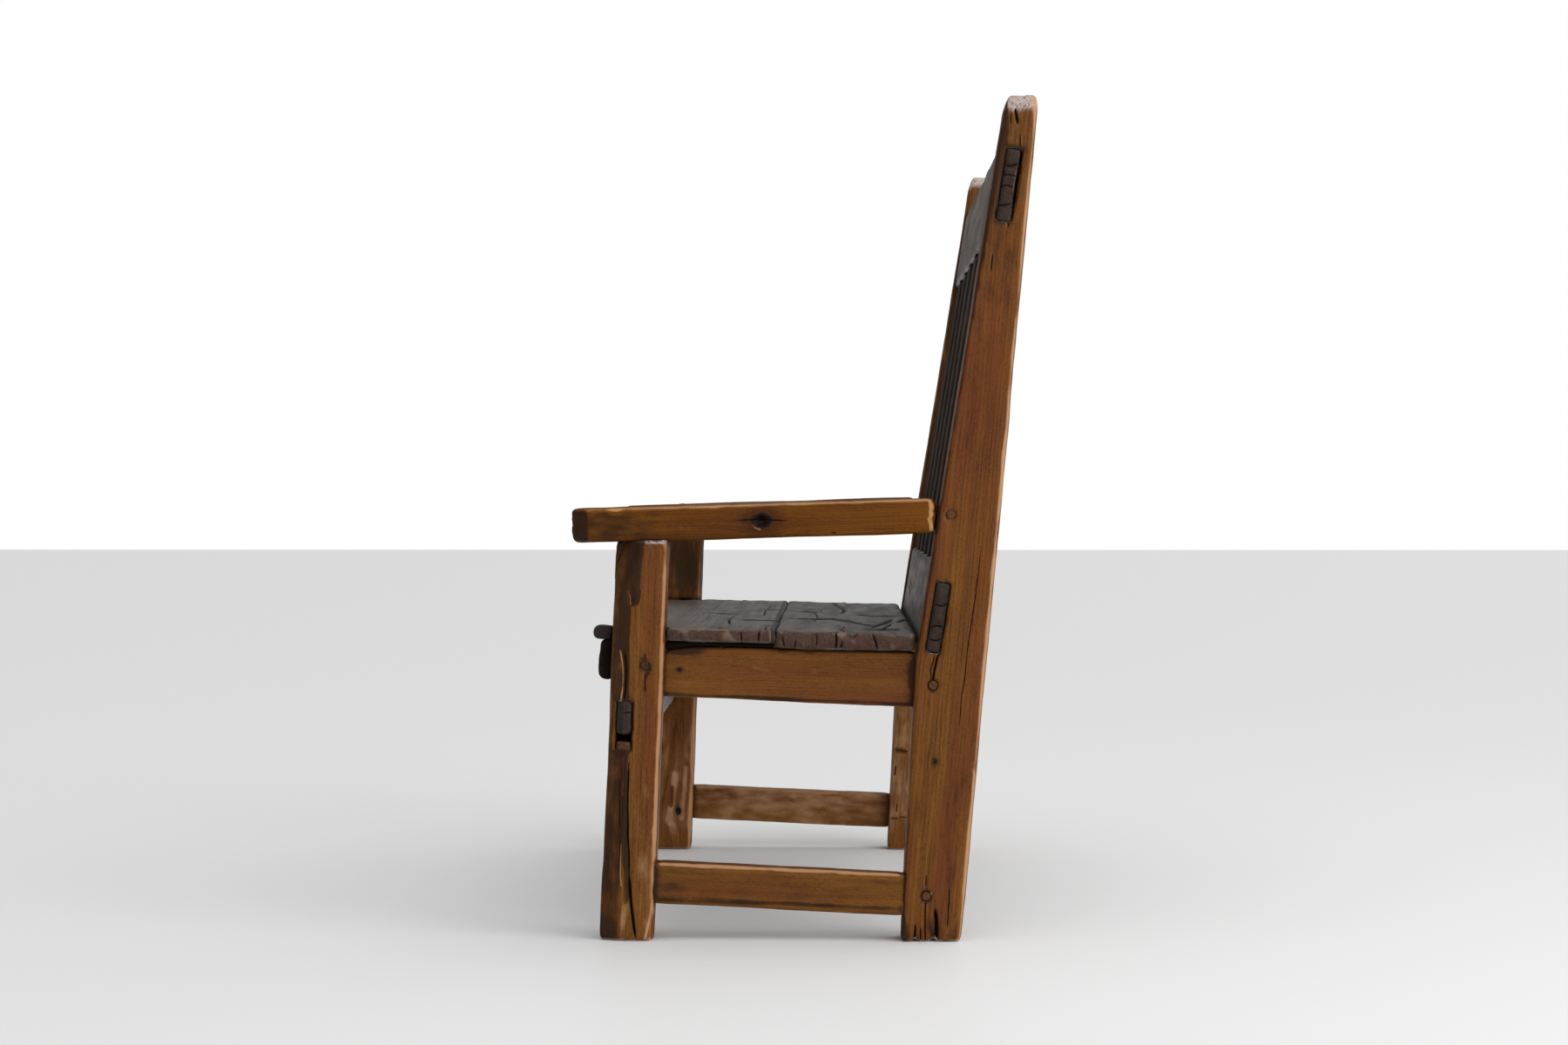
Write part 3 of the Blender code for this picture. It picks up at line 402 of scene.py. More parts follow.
def piece_family(name):
    for kind in SMALL_KINDS:
        if "_" + kind in name:
            return kind
    return max((kind for kind in FAMILIES if name.startswith(kind)), key=len)


# Objects and meshes


def linked(name, data):
    """A new object in the scene."""
    made = bpy.data.objects.new(name, data)
    bpy.context.scene.collection.objects.link(made)
    return made


def remeshed(node, turn, pitch):
    """A copy of a CAD node in its own axes, meshed evenly."""
    mesh = node.data.copy()
    mesh.transform(turn.transposed().to_4x4())
    work = linked("work", mesh)
    modifier = work.modifiers.new("even", "REMESH")
    modifier.mode = "VOXEL"
    modifier.voxel_size = pitch
    shape = work.evaluated_get(bpy.context.evaluated_depsgraph_get())
    even = bpy.data.meshes.new_from_object(shape)
    bpy.data.objects.remove(work)
    bpy.data.meshes.remove(mesh)
    return even


def read(items, field, width, kind=float):
    """A field of all the items of a mesh, one row for each."""
    values = np.empty(len(items) * width, kind)
    items.foreach_get(field, values)
    return values.reshape(-1, width)


def points_of(mesh):
    return read(mesh.vertices, "co", 3)


def normals_of(mesh):
    return read(mesh.vertex_normals, "vector", 3, np.float32).astype(float)


def edges_of(mesh):
    return read(mesh.edges, "vertices", 2, np.int32)


def place_points(mesh, points):
    mesh.vertices.foreach_set("co", points.astype(np.float32).ravel())
    mesh.update()


def float_layer(mesh, name, values):
    layer = mesh.attributes.new(name, "FLOAT", "POINT")
    layer.data.foreach_set("value", values.astype(np.float32))


def taken_layer(mesh, name):
    """The values of a layer, which is then removed."""
    layer = mesh.attributes[name]
    values = read(layer.data, "value", 1, np.float32)[:, 0].astype(float)
    mesh.attributes.remove(layer)
    return values


def blur(values, edges, times):
    """Values averaged with their neighbours along the edges, a number of times."""
    count = np.bincount(edges.ravel(), minlength=len(values))[:, None]
    for _ in range(times):
        total = np.zeros_like(values)
        for one, other in ((0, 1), (1, 0)):
            for k in range(values.shape[1]):
                total[:, k] += np.bincount(edges[:, one], values[edges[:, other], k], len(values))
        values = (values + total) / (1 + count)
    return values


# Distance over which a neighbouring piece paints a surface darker, as shade and dirt where pieces meet.
CONTACT_REACH = 0.011


def other_pieces(name):
    """A search tree of every CAD node but one and the smooth pegs."""
    points, faces = [], []
    for other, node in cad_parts.items():
        if other == name or other.startswith(SMOOTH_PEGS):
            continue
        start = len(points)
        points += [v.co.copy() for v in node.data.vertices]
        faces += [[start + i for i in polygon.vertices] for polygon in node.data.polygons]
    return BVHTree.FromPolygons(points, faces)


def contact(points, tree):
    """How close another piece is, from 1 touching to 0, and the way to it."""
    gaps = np.full(len(points), CONTACT_REACH)
    ways = np.zeros((len(points), 3))
    for i, point in enumerate(points.tolist()):
        _, normal, _, gap = tree.find_nearest(point, CONTACT_REACH)
        if gap is not None:
            gaps[i] = gap
            ways[i] = -normal
    return np.clip(1 - gaps / CONTACT_REACH, 0, 1) ** 2, ways


# Lines on the faces of a piece
NARROW = 0.0030  # strokes narrower than this get a finer mesh
LINE_FACING = 0.3  # how nearly a surface faces the way of the line's face
BEND_LEAST = 3  # points of a wandering path
BEND_PITCH = 0.012
BEND_SCALE = 45
BEND_SIZE = 0.0009
REFINE_REACH = 0.0065  # from a line
REFINE_SLANT = 0.6  # edges that run more along the line stay whole
REFINE_CUTS = 3
SPLIT_REACH = 0.01
SPLIT_SNAP = 0.0005  # closer points move to the bottom of the split
SPLIT_TAPER = 6  # how fast a split gets deeper from its ends
SPLIT_END_DEPTH = 0.12  # share of the depth at the ends
SPLIT_END_WIDTH = 0.5  # share of the width at the ends
SPLIT_FLARE = 0.8  # below 1, the sides of a split are hollow
SPLIT_DARK = 1.5
SPLIT_SEEDS = 1000
CHECK_LENGTHS = (0.05, 0.22)
CHECK_STARTS = (0.02, 0.03)  # distances from the end of a piece
CHECK_SIDES = (0.2, 0.8)  # shares of the width
CHECK_DRIFT = 0.02  # share of the length
CHECK_SEEDS = 1 << 20
CHECK_WIDTHS = (0.0004, 0.0007)
CHECK_DEPTHS = (0.001, 0.003)


class Line:
    """A split, a stroke or a step on one face of a piece, in the piece's own axes."""

    def __init__(self, face, path, width, amount):
        self.face = face
        self.axis = "xyz".index(face[1])
        self.sign = 1 if face[0] == "+" else -1
        self.plane = [k for k in range(3) if k != self.axis]
        self.path = path
        self.width = width
        self.amount = amount

    def facing(self, normals):
        return normals[:, self.axis] * self.sign > LINE_FACING

    def distance(self, points):
        """Signed distance to the path, place along it from 0 to 1, and its direction there."""
        flat, path = points[:, self.plane], self.path
        best = np.full(len(flat), np.inf)
        signed = np.zeros(len(flat))
        along = np.zeros(len(flat))
        heading = np.zeros((len(flat), 2))
        lengths = np.linalg.norm(np.diff(path, axis=0), axis=1)
        starts = np.concatenate([[0], np.cumsum(lengths)])
        for i, length in enumerate(lengths):
            step = (path[i + 1] - path[i]) / length
            offset = flat - path[i]
            inside = np.clip(offset @ step, 0, length)
            gap = offset - inside[:, None] * step
            distance = np.linalg.norm(gap, axis=1)
            closer = distance < best
            best[closer] = distance[closer]
            side = offset[:, 0] * step[1] - offset[:, 1] * step[0]
            signed[closer] = np.where(side < 0, -distance, distance)[closer]
            along[closer] = ((starts[i] + inside) / starts[-1])[closer]
            heading[closer] = step
        return signed, along, heading


def wandering(points, seed):
    """A path with small bends added between its points."""
    points = np.array(points, float)
    lengths = np.concatenate([[0], np.cumsum(np.linalg.norm(np.diff(points, axis=0), axis=1))])
    steps = max(BEND_LEAST, int(lengths[-1] / BEND_PITCH))
    at = np.linspace(0, lengths[-1], steps)
    path = np.stack([np.interp(at, lengths, points[:, k]) for k in range(2)], axis=1)
    stations = np.stack([at * BEND_SCALE, np.zeros(steps), np.zeros(steps)], axis=1)
    for k in range(2):
        path[:, k] += BEND_SIZE * noise(stations, seed + k)
    return path


def refine(mesh, lines):
    """Cuts the edges of a mesh finer where they cross a line."""
    points, normals, edges = points_of(mesh), normals_of(mesh), edges_of(mesh)
    chosen = np.zeros(len(edges), bool)
    for line in lines:
        signed, _, heading = line.distance(points)
        near = line.facing(normals) & (np.abs(signed) < REFINE_REACH)
        both = near[edges[:, 0]] & near[edges[:, 1]]
        run = (points[edges[:, 1]] - points[edges[:, 0]])[:, line.plane]
        size = np.linalg.norm(run, axis=1) + 1e-9
        across = np.abs((run * heading[edges[:, 0]]).sum(1)) / size < REFINE_SLANT
        chosen |= both & across
    if not chosen.any():
        return
    shape = bmesh.new()
    shape.from_mesh(mesh)
    shape.edges.ensure_lookup_table()
    picked = [shape.edges[i] for i in np.nonzero(chosen)[0]]
    bmesh.ops.subdivide_edges(shape, edges=picked, cuts=REFINE_CUTS, use_grid_fill=True)
    shape.to_mesh(mesh)
    shape.free()
    mesh.update()


def random_checks(rng, own, grain, count):
    """Small drying checks along the grain of a piece."""
    low, high = own.min(0), own.max(0)
    found = []
    for _ in range(count):
        axis = [k for k in range(3) if k != grain][rng.integers(2)]
        across = 3 - grain - axis
        face = ("+" if rng.random() < 0.5 else "-") + "xyz"[axis]
        length = rng.uniform(*CHECK_LENGTHS)
        last_start = max(low[grain] + CHECK_STARTS[1], high[grain] - length - CHECK_STARTS[0])
        start = rng.uniform(low[grain] + CHECK_STARTS[0], last_start)
        side = low[across] + rng.uniform(*CHECK_SIDES) * (high[across] - low[across])
        drift = rng.uniform(-CHECK_DRIFT, CHECK_DRIFT) * length
        ends = np.zeros((2, 3))
        ends[:, grain] = start, start + length
        ends[:, across] = side, side + drift
        path = wandering(np.delete(ends, axis, axis=1), int(rng.integers(CHECK_SEEDS)))
        found.append(Line(face, path, rng.uniform(*CHECK_WIDTHS), rng.uniform(*CHECK_DEPTHS)))
    return found


def open_splits(points, normals, splits):
    """Cuts the splits into the points and returns how deep in a split each point is, from 0 to 1."""
    mask = np.zeros(len(points))
    for split in splits:
        signed, along, heading = split.distance(points)
        taper = np.clip(np.minimum(along, 1 - along) * SPLIT_TAPER, SPLIT_END_DEPTH, 1)
        inside = split.facing(normals) & (np.abs(signed) < SPLIT_REACH)
        snap = inside & (np.abs(signed) < SPLIT_SNAP)
        sideways = np.stack([heading[:, 1], -heading[:, 0]], axis=1)
        moved = points[:, split.plane]
        moved[snap] -= signed[snap, None] * sideways[snap]
        points[:, split.plane] = moved
        signed = np.where(snap, 0, signed)
        half_width = split.width * (SPLIT_END_WIDTH + (1 - SPLIT_END_WIDTH) * taper)
        share = np.clip(1 - np.abs(signed) / half_width, 0, 1) * inside
        points -= normals * (split.amount * taper * share ** SPLIT_FLARE)[:, None]
        mask = np.maximum(mask, share * np.clip(taper * SPLIT_DARK, 0, 1))
    return mask


# Noise on the surfaces: cells per metre along the grain and across it. Each kind has its own seed, by
# its place in this list.
SURFACE_NOISE = {
    "wave": (8, 24),
    "ripple": (26, 70),
    "fine": (60, 190),
    "notch": (22, 40),
    "nick": (48, 60),
    "ridge": (7, 75),
    "ragged": (30, 110),
    "rear_wear_and_highlight": (18, 60),
    "top": (20, 120),
}
# Uneven faces and ragged ends
END_FACING = (0.6, 0.9)
RIPPLE_SHARE = 0.4
FINE_DEPTH = 0.00025
FINE_ON_ENDS = 2.2
RAGGED_DEPTH = 0.0012
SMALL_RAGGED = 0.1
SEAT_RAGGED_DEPTH = 0.0010
# Worn arrises
ARRIS_BLUR = 8
ARRIS_START = 0.12
ARRIS_SPAN = 0.9
NOTCH_MEAN = 0.55
NOTCH_SWING = 0.45
NOTCH_DEPTH = 0.0022
NICK_RANGE = (0.45, 0.8)
NICK_DEPTH = 0.0028
SMALL_WEAR = 0.12
TENON_WEAR = 0.2
TENON_START = 0.53  # from the middle of a long rail
# Shoulders, which run into the neighbouring piece
SHOULDER_SINK = 0.004
SHOULDER_FACING = 0.7
SHOULDER_TOUCH = (0.2, 0.6)
RAIL_SHOULDERS = (0.520, 0.537)  # from the middle of a long rail
# Joint between the seat boards: its place, the distances over which the edges stay sharp, the share of
# wear they are spared, the depths over which the joint closes, how far it closes, the reach of its dirt
JOINT = -0.0460
JOINT_REACH = (0.002, 0.009)
JOINT_SPARED = 0.9
JOINT_MOUTH = (0.006, 0.012)
JOINT_CLOSING = (0.0003, 0.0018)
JOINT_DIRT = (0.0014, 0.0028)
# Wane and foot of a front post
WANE_FACING = (0.12, 0.4)
WANE_LEVEL = 0.35
WANE_DEPTH = 0.0022
WANE_FINE_DEPTH = 0.0008
FOOT_HEIGHTS = (0.075, 0.125)
FOOT_FACING = (0.3, 0.8)
FOOT_DEPTH = 0.0022
# Rear faces of the posts: Y at the floor and its slope. Their arrises are worn round, with a painted
# highlight.
REAR_FACES = {"front_post": (-0.2178, 0.0393), "rear_post": (0.2259, 0.0909)}
POST_SIDES = (0.534, 0.6)
BAND_INSET = (0.002, 0.0085)
BAND_BESIDE = (0.003, 0.009)
BAND_DEPTH = 0.0016
# Strength of the painted highlight along the rear arrises, and how much it varies
REAR_HIGHLIGHT_MEAN = 0.75
REAR_HIGHLIGHT_SWING = 0.6
# Tops of the rear posts: heights between which they are worn round, shares of the width and depth lost
# at the very top, and heights between which they turn grey
TOP_HEIGHTS = (1.184, 1.216)
TOP_WEAR = (0.30, 0.12)
TOP_GREY = (1.190, 1.203)
TOP_RAGGED = 0.006
# Bites and steps
BITE_EDGE = (0.3, 1.0)
STEP_ENDS = 8
SILL_REACH = (0.0012, 0.0035)
# How much paler, above 0, or darker a surface gets, from wear, dirt, painted highlights and painted
# shade
ARRIS_TONE = 0.6
# painted highlight along the rear arrises of the posts
REAR_HIGHLIGHT_TONE = 1.0
# painted shade and dirt near a neighbouring piece, weaker on pegs
CONTACT_SHADE_AND_DIRT_TONE = -0.8
PEG_CONTACT_SHADE_AND_DIRT_TONE = -0.2
HOLLOW_TONE = -0.35
WANE_TONE = -0.65
SILL_TONE = -1.6
SEAT_END_TONE = 0.4
JOINT_TONE = -2.6
# painted shade on the arm's faces turned to the front, away from the light
ARM_FRONT_SHADE_TONE = -1.0
ARM_FRONT_FACING = (0.25, 0.6)
FLOOR_TONE = -0.4
FLOOR_REACH = 0.05
STROKE_EDGE = (0.4, 1.0)
PLACE_EDGE = (0.1, 1.3)
PIECE_TONE = 0.08
# Where the pith of the tree lay, in shares of the piece's size, and where along the tree it was cut
PITH_ASIDE = 0.3
PITH_BELOW = (0.6, 1.4)
TREE_LENGTH = 5
# Knots, in radii
NO_KNOT = 6.0
KNOT_FACING = 0.2
KNOT_STRETCH = 0.72
KNOT_LENGTH = 4
KNOT_WIDTH = 3
KNOT_BEND = 0.75


class WornPiece:
    """The worn mesh for one CAD node, worked in the piece's own axes."""

    def __init__(self, name):
        self.name = name
        self.kind = piece_family(name)
        axis, lean, self.pitch, self.look, self.slot, self.uneven = FAMILIES[self.kind]
        self.turn = Matrix.Rotation(-radians(lean), 3, "X")
        self.spin = np.array(self.turn)
        self.order = AXES[axis]
        self.grain = self.order[0]
        self.seed = zlib.crc32(name.encode())
        self.rng = np.random.default_rng(self.seed)
        self.others = other_pieces(name)
        self.mesh = remeshed(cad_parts[name], self.turn, self.pitch)
        self.mesh.name = name + "_worn"
        self.find_arrises()
        self.lay_lines()
        self.read_surface()
        self.wear_down()
        self.displace()
        self.shade()
        self.write_layers()

    def places(self):
        """The points in the bench's frame."""
        return self.own @ self.spin.T

    def far(self, centre, radii):
        """Distances of the points from a place, in radii."""
        return np.linalg.norm((self.places() * MILLI - centre) / radii, axis=1)

    def path(self, face, points):
        """Points in the plane of a face, from the bench's frame to the piece's own axes."""
        axis = "xyz".index(face[1])
        full = np.insert(np.array(points, float) / MILLI, axis, 0.0, axis=1)
        own = [self.turn.transposed() @ Vector(point) for point in full]
        return np.delete(np.array(own), axis, axis=1)

    def rough(self, kind):
        """Smooth random values over the surface as it was before the wear."""
        along, across = SURFACE_NOISE[kind]
        seed = self.seed + list(SURFACE_NOISE).index(kind)
        return noise(self.coords * (along, across, across), seed)

    def read_points(self):
        self.own = points_of(self.mesh)
        self.normals = normals_of(self.mesh)

    def find_arrises(self):
        """Rounds the mesh a little and marks its arrises and its hollows in two layers."""
        edges = edges_of(self.mesh)
        place_points(self.mesh, blur(points_of(self.mesh), edges, 1))
        self.read_points()
        bulge = ((self.own - blur(self.own, edges, ARRIS_BLUR)) * self.normals).sum(1) / self.pitch
        for layer, values in (("arris", bulge), ("hollow", -bulge)):
            float_layer(self.mesh, layer, np.clip((values - ARRIS_START) / ARRIS_SPAN, 0, 1))

    def lay_lines(self):
        """Finds the splits, strokes and steps of the piece and cuts its mesh finer along them."""
        self.splits = []
        for face in ("+x", "+z"):
            for half_width, depth, *points in SPLITS.get((self.name, face), ()):
                path = wandering(self.path(face, points), self.seed % SPLIT_SEEDS + len(self.splits))
                self.splits.append(Line(face, path, half_width / MILLI, depth / MILLI))
        # The outer faces of the left end have only the splits listed above.
        listed_only = "+x" if self.name.endswith("_left") else None
        checks = random_checks(self.rng, self.own, self.grain, LOOKS[self.look]["checks"])
        self.splits += [check for check in checks if check.face != listed_only]
        self.strokes = []
        for strength, widths, *points in STROKES.get(self.name, ()):
            widths = np.ones(2) * widths / MILLI
            self.strokes.append(Line("+x", self.path("+x", points), widths, strength))
        self.steps = []
        for height, run_out, *points in STEPS.get(self.name, ()):
            path = wandering(self.path("+z", points), len(self.steps))
            self.steps.append(Line("+z", path, run_out / MILLI, height / MILLI))
        narrow = [stroke for stroke in self.strokes if max(stroke.width) < NARROW]
        refine(self.mesh, self.splits + self.steps + narrow)

    def read_surface(self):
        """Reads the refined mesh, with nothing yet known of its wear."""
        self.read_points()
        self.arris = taken_layer(self.mesh, "arris")
        self.hollow = taken_layer(self.mesh, "hollow")
        self.coords = self.own[:, self.order]
        self.cut = smooth(np.abs(self.normals[:, self.grain]), *END_FACING)
        self.fine = self.rough("fine")
        self.ragged = self.rough("ragged")
        self.joint = self.sink = self.wane = self.rear_wear_and_highlight = self.sills = np.zeros(len(self.own))

    def wear_down(self):
        """Finds how far each point moves out of its surface or into it."""
        self.roughen()
        if self.kind == "seat_board":
            self.to_joint = JOINT - self.places()[:, 1]
            self.joint = fade(np.abs(self.to_joint), *JOINT_REACH)
        if self.kind in SHOULDERED:
            self.find_shoulders()
        self.wear_arrises()
        if self.kind == "front_post":
            self.wear_front_post()
        if self.kind in REAR_FACES:
            self.round_and_highlight_rear_arrises()
        if self.kind == "rear_post":
            self.wear_top()

    def roughen(self):
        """Uneven faces and ragged ends."""
        wave = self.rough("wave") + RIPPLE_SHARE * self.rough("ripple")
        self.shift = self.uneven * wave + FINE_DEPTH * self.fine * (1 + FINE_ON_ENDS * self.cut)
        small = SMALL_RAGGED if self.kind in SMALL_KINDS else 1.0
        self.shift += RAGGED_DEPTH * self.cut * self.ragged * small
        if self.kind == "seat_board":
            self.shift += SEAT_RAGGED_DEPTH * self.cut * self.ragged

    def find_shoulders(self):
        """Which way along the grain the shoulders run into the neighbouring piece."""
        touch, ways = contact(self.places(), self.others)
        ways = (ways @ self.spin)[:, self.grain]
        self.sink = np.sign(ways) * (np.abs(ways) > SHOULDER_FACING) * smooth(touch, *SHOULDER_TOUCH)
        if self.kind in LONG_RAILS:
            from_middle = np.abs(self.own[:, 0])
            self.sink[(from_middle < RAIL_SHOULDERS[0]) | (from_middle > RAIL_SHOULDERS[1])] = 0

    def wear_arrises(self):
        """Worn and nicked arrises, less so on small pieces, tenons and joints."""
        wear = np.full(len(self.own), SMALL_WEAR if self.kind in SMALL_KINDS else 1.0)
        wear *= 1 - JOINT_SPARED * self.joint
        wear *= 1 - np.abs(self.sink)
        if self.kind in LONG_RAILS:
            wear[np.abs(self.own[:, 0]) > TENON_START] = TENON_WEAR
        notch = NOTCH_MEAN + NOTCH_SWING * self.rough("notch")
        nick = smooth(self.rough("nick"), *NICK_RANGE)
        self.shift -= self.arris * (NOTCH_DEPTH * notch + NICK_DEPTH * nick) * wear

    def wear_front_post(self):
        """The ragged wane of a front post, and its foot, which is thicker towards the front."""
        front = -self.normals[:, 1]
        side = np.abs(self.normals[:, 0])
        self.wane = smooth(front, *WANE_FACING) * smooth(side, *WANE_FACING) * (1 - self.cut)
        ridges = np.abs(self.rough("ridge")) - WANE_LEVEL
        self.shift += self.wane * (WANE_DEPTH * ridges + WANE_FINE_DEPTH * self.fine)
        foot = fade(self.places()[:, 2], *FOOT_HEIGHTS)
        self.shift += FOOT_DEPTH * foot * smooth(front, *FOOT_FACING)

    def round_and_highlight_rear_arrises(self):
        """Round arrises along the rear face of a post, painted pale as a highlight."""
        start, slope = REAR_FACES[self.kind]
        x, y, z = self.places().T
        beside = np.min([np.abs(np.abs(x) - side) for side in POST_SIDES], axis=0)
        self.rear_wear_and_highlight = fade(start + slope * z - y, *BAND_INSET) * fade(beside, *BAND_BESIDE)
        self.shift -= BAND_DEPTH * self.rear_wear_and_highlight * (1 - self.cut)
        # The painted highlight varies in strength along the arris.
        self.rear_wear_and_highlight *= REAR_HIGHLIGHT_MEAN + REAR_HIGHLIGHT_SWING * self.rough("rear_wear_and_highlight")

    def wear_top(self):
        """The worn, grey top of a rear post."""
        height = self.places()[:, 2]
        worn = smooth(height, *TOP_HEIGHTS) ** 2
        middle = self.own[worn > 0.5].mean(0)
        self.own[:, :2] -= (self.own[:, :2] - middle[:2]) * worn[:, None] * TOP_WEAR
        grey = smooth(height + TOP_RAGGED * self.rough("top"), *TOP_GREY)
        self.cut = np.maximum(self.cut, grey)

    def displace(self):
        """Moves the points, then takes the bites, steps and splits out of the piece."""
        self.own = self.own + self.normals * self.shift[:, None]
        self.own[:, self.grain] += SHOULDER_SINK * self.sink
        if self.kind == "seat_board":
            depth = self.own[:, 2].max() - self.own[:, 2]
            closing = np.interp(depth, JOINT_MOUTH, JOINT_CLOSING)
            self.own[:, 1] += closing * self.joint * np.sign(self.to_joint.mean())
        for depth, centre, radii in BITES.get(self.name, ()):
            bite = depth / MILLI * fade(self.far(centre, radii), *BITE_EDGE)
            self.own = self.own - self.normals * bite[:, None]
        for step in self.steps:
            signed, along, _ = step.distance(self.own)
            ends = np.clip(np.minimum(along, 1 - along) * STEP_ENDS, 0, 1) * step.facing(self.normals)
            fall = np.where(signed > 0, fade(signed, 0.0, step.width), 0.0)
            self.own[:, 2] -= step.amount * ends * fall
            self.sills = np.maximum(self.sills, ends * fade(np.abs(signed), *SILL_REACH))
        self.mask = open_splits(self.own, self.normals, self.splits)

    def shade(self):
        """Finds how much paler or darker than its timber each point is, painted highlights and shade
        included.
        """
        _, y, z = self.places().T
        # Painted shade and dirt where another piece is near.
        near, _ = contact(self.places(), self.others)
        tone = (ARRIS_TONE * self.arris + REAR_HIGHLIGHT_TONE * self.rear_wear_and_highlight) * (1 - near)
        tone += (PEG_CONTACT_SHADE_AND_DIRT_TONE if self.kind == "peg" else CONTACT_SHADE_AND_DIRT_TONE) * near
        tone += HOLLOW_TONE * self.hollow + WANE_TONE * self.wane + SILL_TONE * self.sills
        tone += FLOOR_TONE * fade(z, 0.0, FLOOR_REACH)
        # Painted shade on the arm's front faces.
        if self.kind == "arm":
            tone += ARM_FRONT_SHADE_TONE * smooth(-self.normals[:, 1], *ARM_FRONT_FACING)
        if self.kind == "seat_board":
            tone += SEAT_END_TONE * self.cut * (self.ragged + self.fine)
            tone += JOINT_TONE * fade(np.abs(y - JOINT), *JOINT_DIRT)
        for stroke in self.strokes:
            signed, along, _ = stroke.distance(self.own)
            reach = np.abs(signed) / np.interp(along, (0, 1), stroke.width)
            tone += stroke.amount * fade(reach, *STROKE_EDGE) * stroke.facing(self.normals)
        for strength, centre, radii in PLACES.get(self.name, ()):
            tone += strength * fade(self.far(centre, radii), *PLACE_EDGE)
        self.tone = tone + self.rng.uniform(-PIECE_TONE, PIECE_TONE)

    def tree_places(self):
        """Places in the tree that the piece was cut from, along the grain and across it."""
        size = np.ptp(self.own, axis=0)[list(self.order)]
        aside = self.rng.uniform(-PITH_ASIDE, PITH_ASIDE) * size[1]
        below = self.rng.uniform(*PITH_BELOW) * max(size[1], size[2])
        side = 1 if self.rng.random() < 0.5 else -1
        return self.own[:, self.order] + np.array([0, aside, below * side])

    def knot_field(self, coords):
        """How many radii each point is from the knot. Bends the places in the tree round it."""
        if self.name not in KNOTS:
            return np.full(len(self.own), NO_KNOT)
        radius, centre = KNOTS[self.name]
        offset = (self.own[:, 1:] - self.path("+x", [centre])) / (radius / MILLI)
        stretch = [KNOT_STRETCH if k == self.grain else 1.0 for k in (1, 2)]
        field = np.minimum(np.linalg.norm(offset * stretch, axis=1), NO_KNOT)
        if self.grain != 0:
            across = 3 - self.grain
            side, along = offset[:, across - 1], offset[:, self.grain - 1]
            lean = np.exp(-(along / KNOT_LENGTH) ** 2 - (side / KNOT_WIDTH) ** 2)
            coords[:, self.order.index(across)] -= side * radius / MILLI * KNOT_BEND * lean
        return np.where(self.normals[:, 0] > KNOT_FACING, field, NO_KNOT)

    def write_layers(self):
        """Places the points in the bench's frame and writes the layers that the material reads."""
        coords = self.tree_places()
        field = self.knot_field(coords)
        coords[:, 0] += self.rng.uniform(0, TREE_LENGTH)
        place_points(self.mesh, self.places())
        layer = self.mesh.attributes.new("grain", "FLOAT_VECTOR", "POINT")
        layer.data.foreach_set("vector", coords.astype(np.float32).ravel())
        layers = {"tone": self.tone, "split": self.mask, "knot": field, "cut": self.cut}
        for name, values in layers.items():
            float_layer(self.mesh, name, values)
        self.mesh.shade_smooth()


def weathered(name, materials):
    """Builds the shown piece for one CAD node."""
    worn = WornPiece(name)
    worn.mesh.materials.clear()
    worn.mesh.materials.append(materials[worn.look])
    piece = linked(name + "_worn", worn.mesh)
    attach(piece, "root")
    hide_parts(name)


# Noise in the wood: cells per metre along the grain and across it, and detail.
WOOD_NOISE = {
    "sway": (2.4, 9, 2),
    "wobble": (12, 60, 2),
    "fibre": (14, 620, 2),
    "mottle": (6, 44, 4),
    "patch": (1.8, 30, 3),
    "fleck": (40, 380, 1),
    "years": (0.8, 430, 2),
    "grit": (260, 700, 2),
    "hue": (2.2, 22, 3),
    "pits": (60, 300, 3),
    "broken": (28, 70, 4),
}
# Values of the noise over which some patterns set in
PATTERN_RANGES = {"hue": (0.25, 0.75), "patch": (0.42, 0.85), "fleck": (0.66, 0.78), "pits": (0.5, 0.7)}
RING_BENDS = {"sway": 0.005, "wobble": 0.0012}
LATE_WOOD = (0.3, 0.93)  # part of a ring over which the dark late wood sets in
RING_END = (0.95, 1.0)  # part of a ring over which it ends
MOTTLE_DARKNESS = 1.1
BASE_DARKNESS = 0.18
FLECK_STAIN = 0.45
END_RINGS = 0.4
END_PITS = 0.6
TONE_BREAKS = 1.1
# Tone over which pale places, wear and painted highlights, and dark ones, dirt and painted shade, set
# in
PALE_RANGE = (0.15, 0.9)
PALE_MOST = 0.8
DIRT_AND_SHADE_RANGE = (0.15, 0.85)
DIRT_AND_SHADE_MOST = 0.85
# Parts of a knot, in radii from its centre
KNOT_SWIRL = 0.5
KNOT_RIM = (0.5, 0.75)
KNOT_EDGE = (0.85, 1.15)
KNOT_HALO = (1.1, 2.6)
KNOT_HALO_MOST = 0.45
SPLIT_EDGE = (0.1, 0.6)
# What the patterns add to the roughness and to the height of the surface
MOTTLE_ROUGHNESS = 0.5
ROUGHNESS = {"cut": 0.25, "dirt_and_shade": 0.15, "split": 0.3}
RELIEF = {"late": 0.35, "fibre": 0.6, "fleck": -0.5, "mottle": 0.8, "end_pits": -1.5}
BUMP_STRENGTH = 0.6
BUMP_DISTANCE = 0.0008


def linear(colour):
    """A display colour from 0 to 255 as scene light."""
    share = np.array(colour, float) / 255
    low = share / 12.92
    high = ((share + 0.055) / 1.055) ** 2.4
    return (*np.where(share <= 0.04045, low, high).tolist(), 1.0)


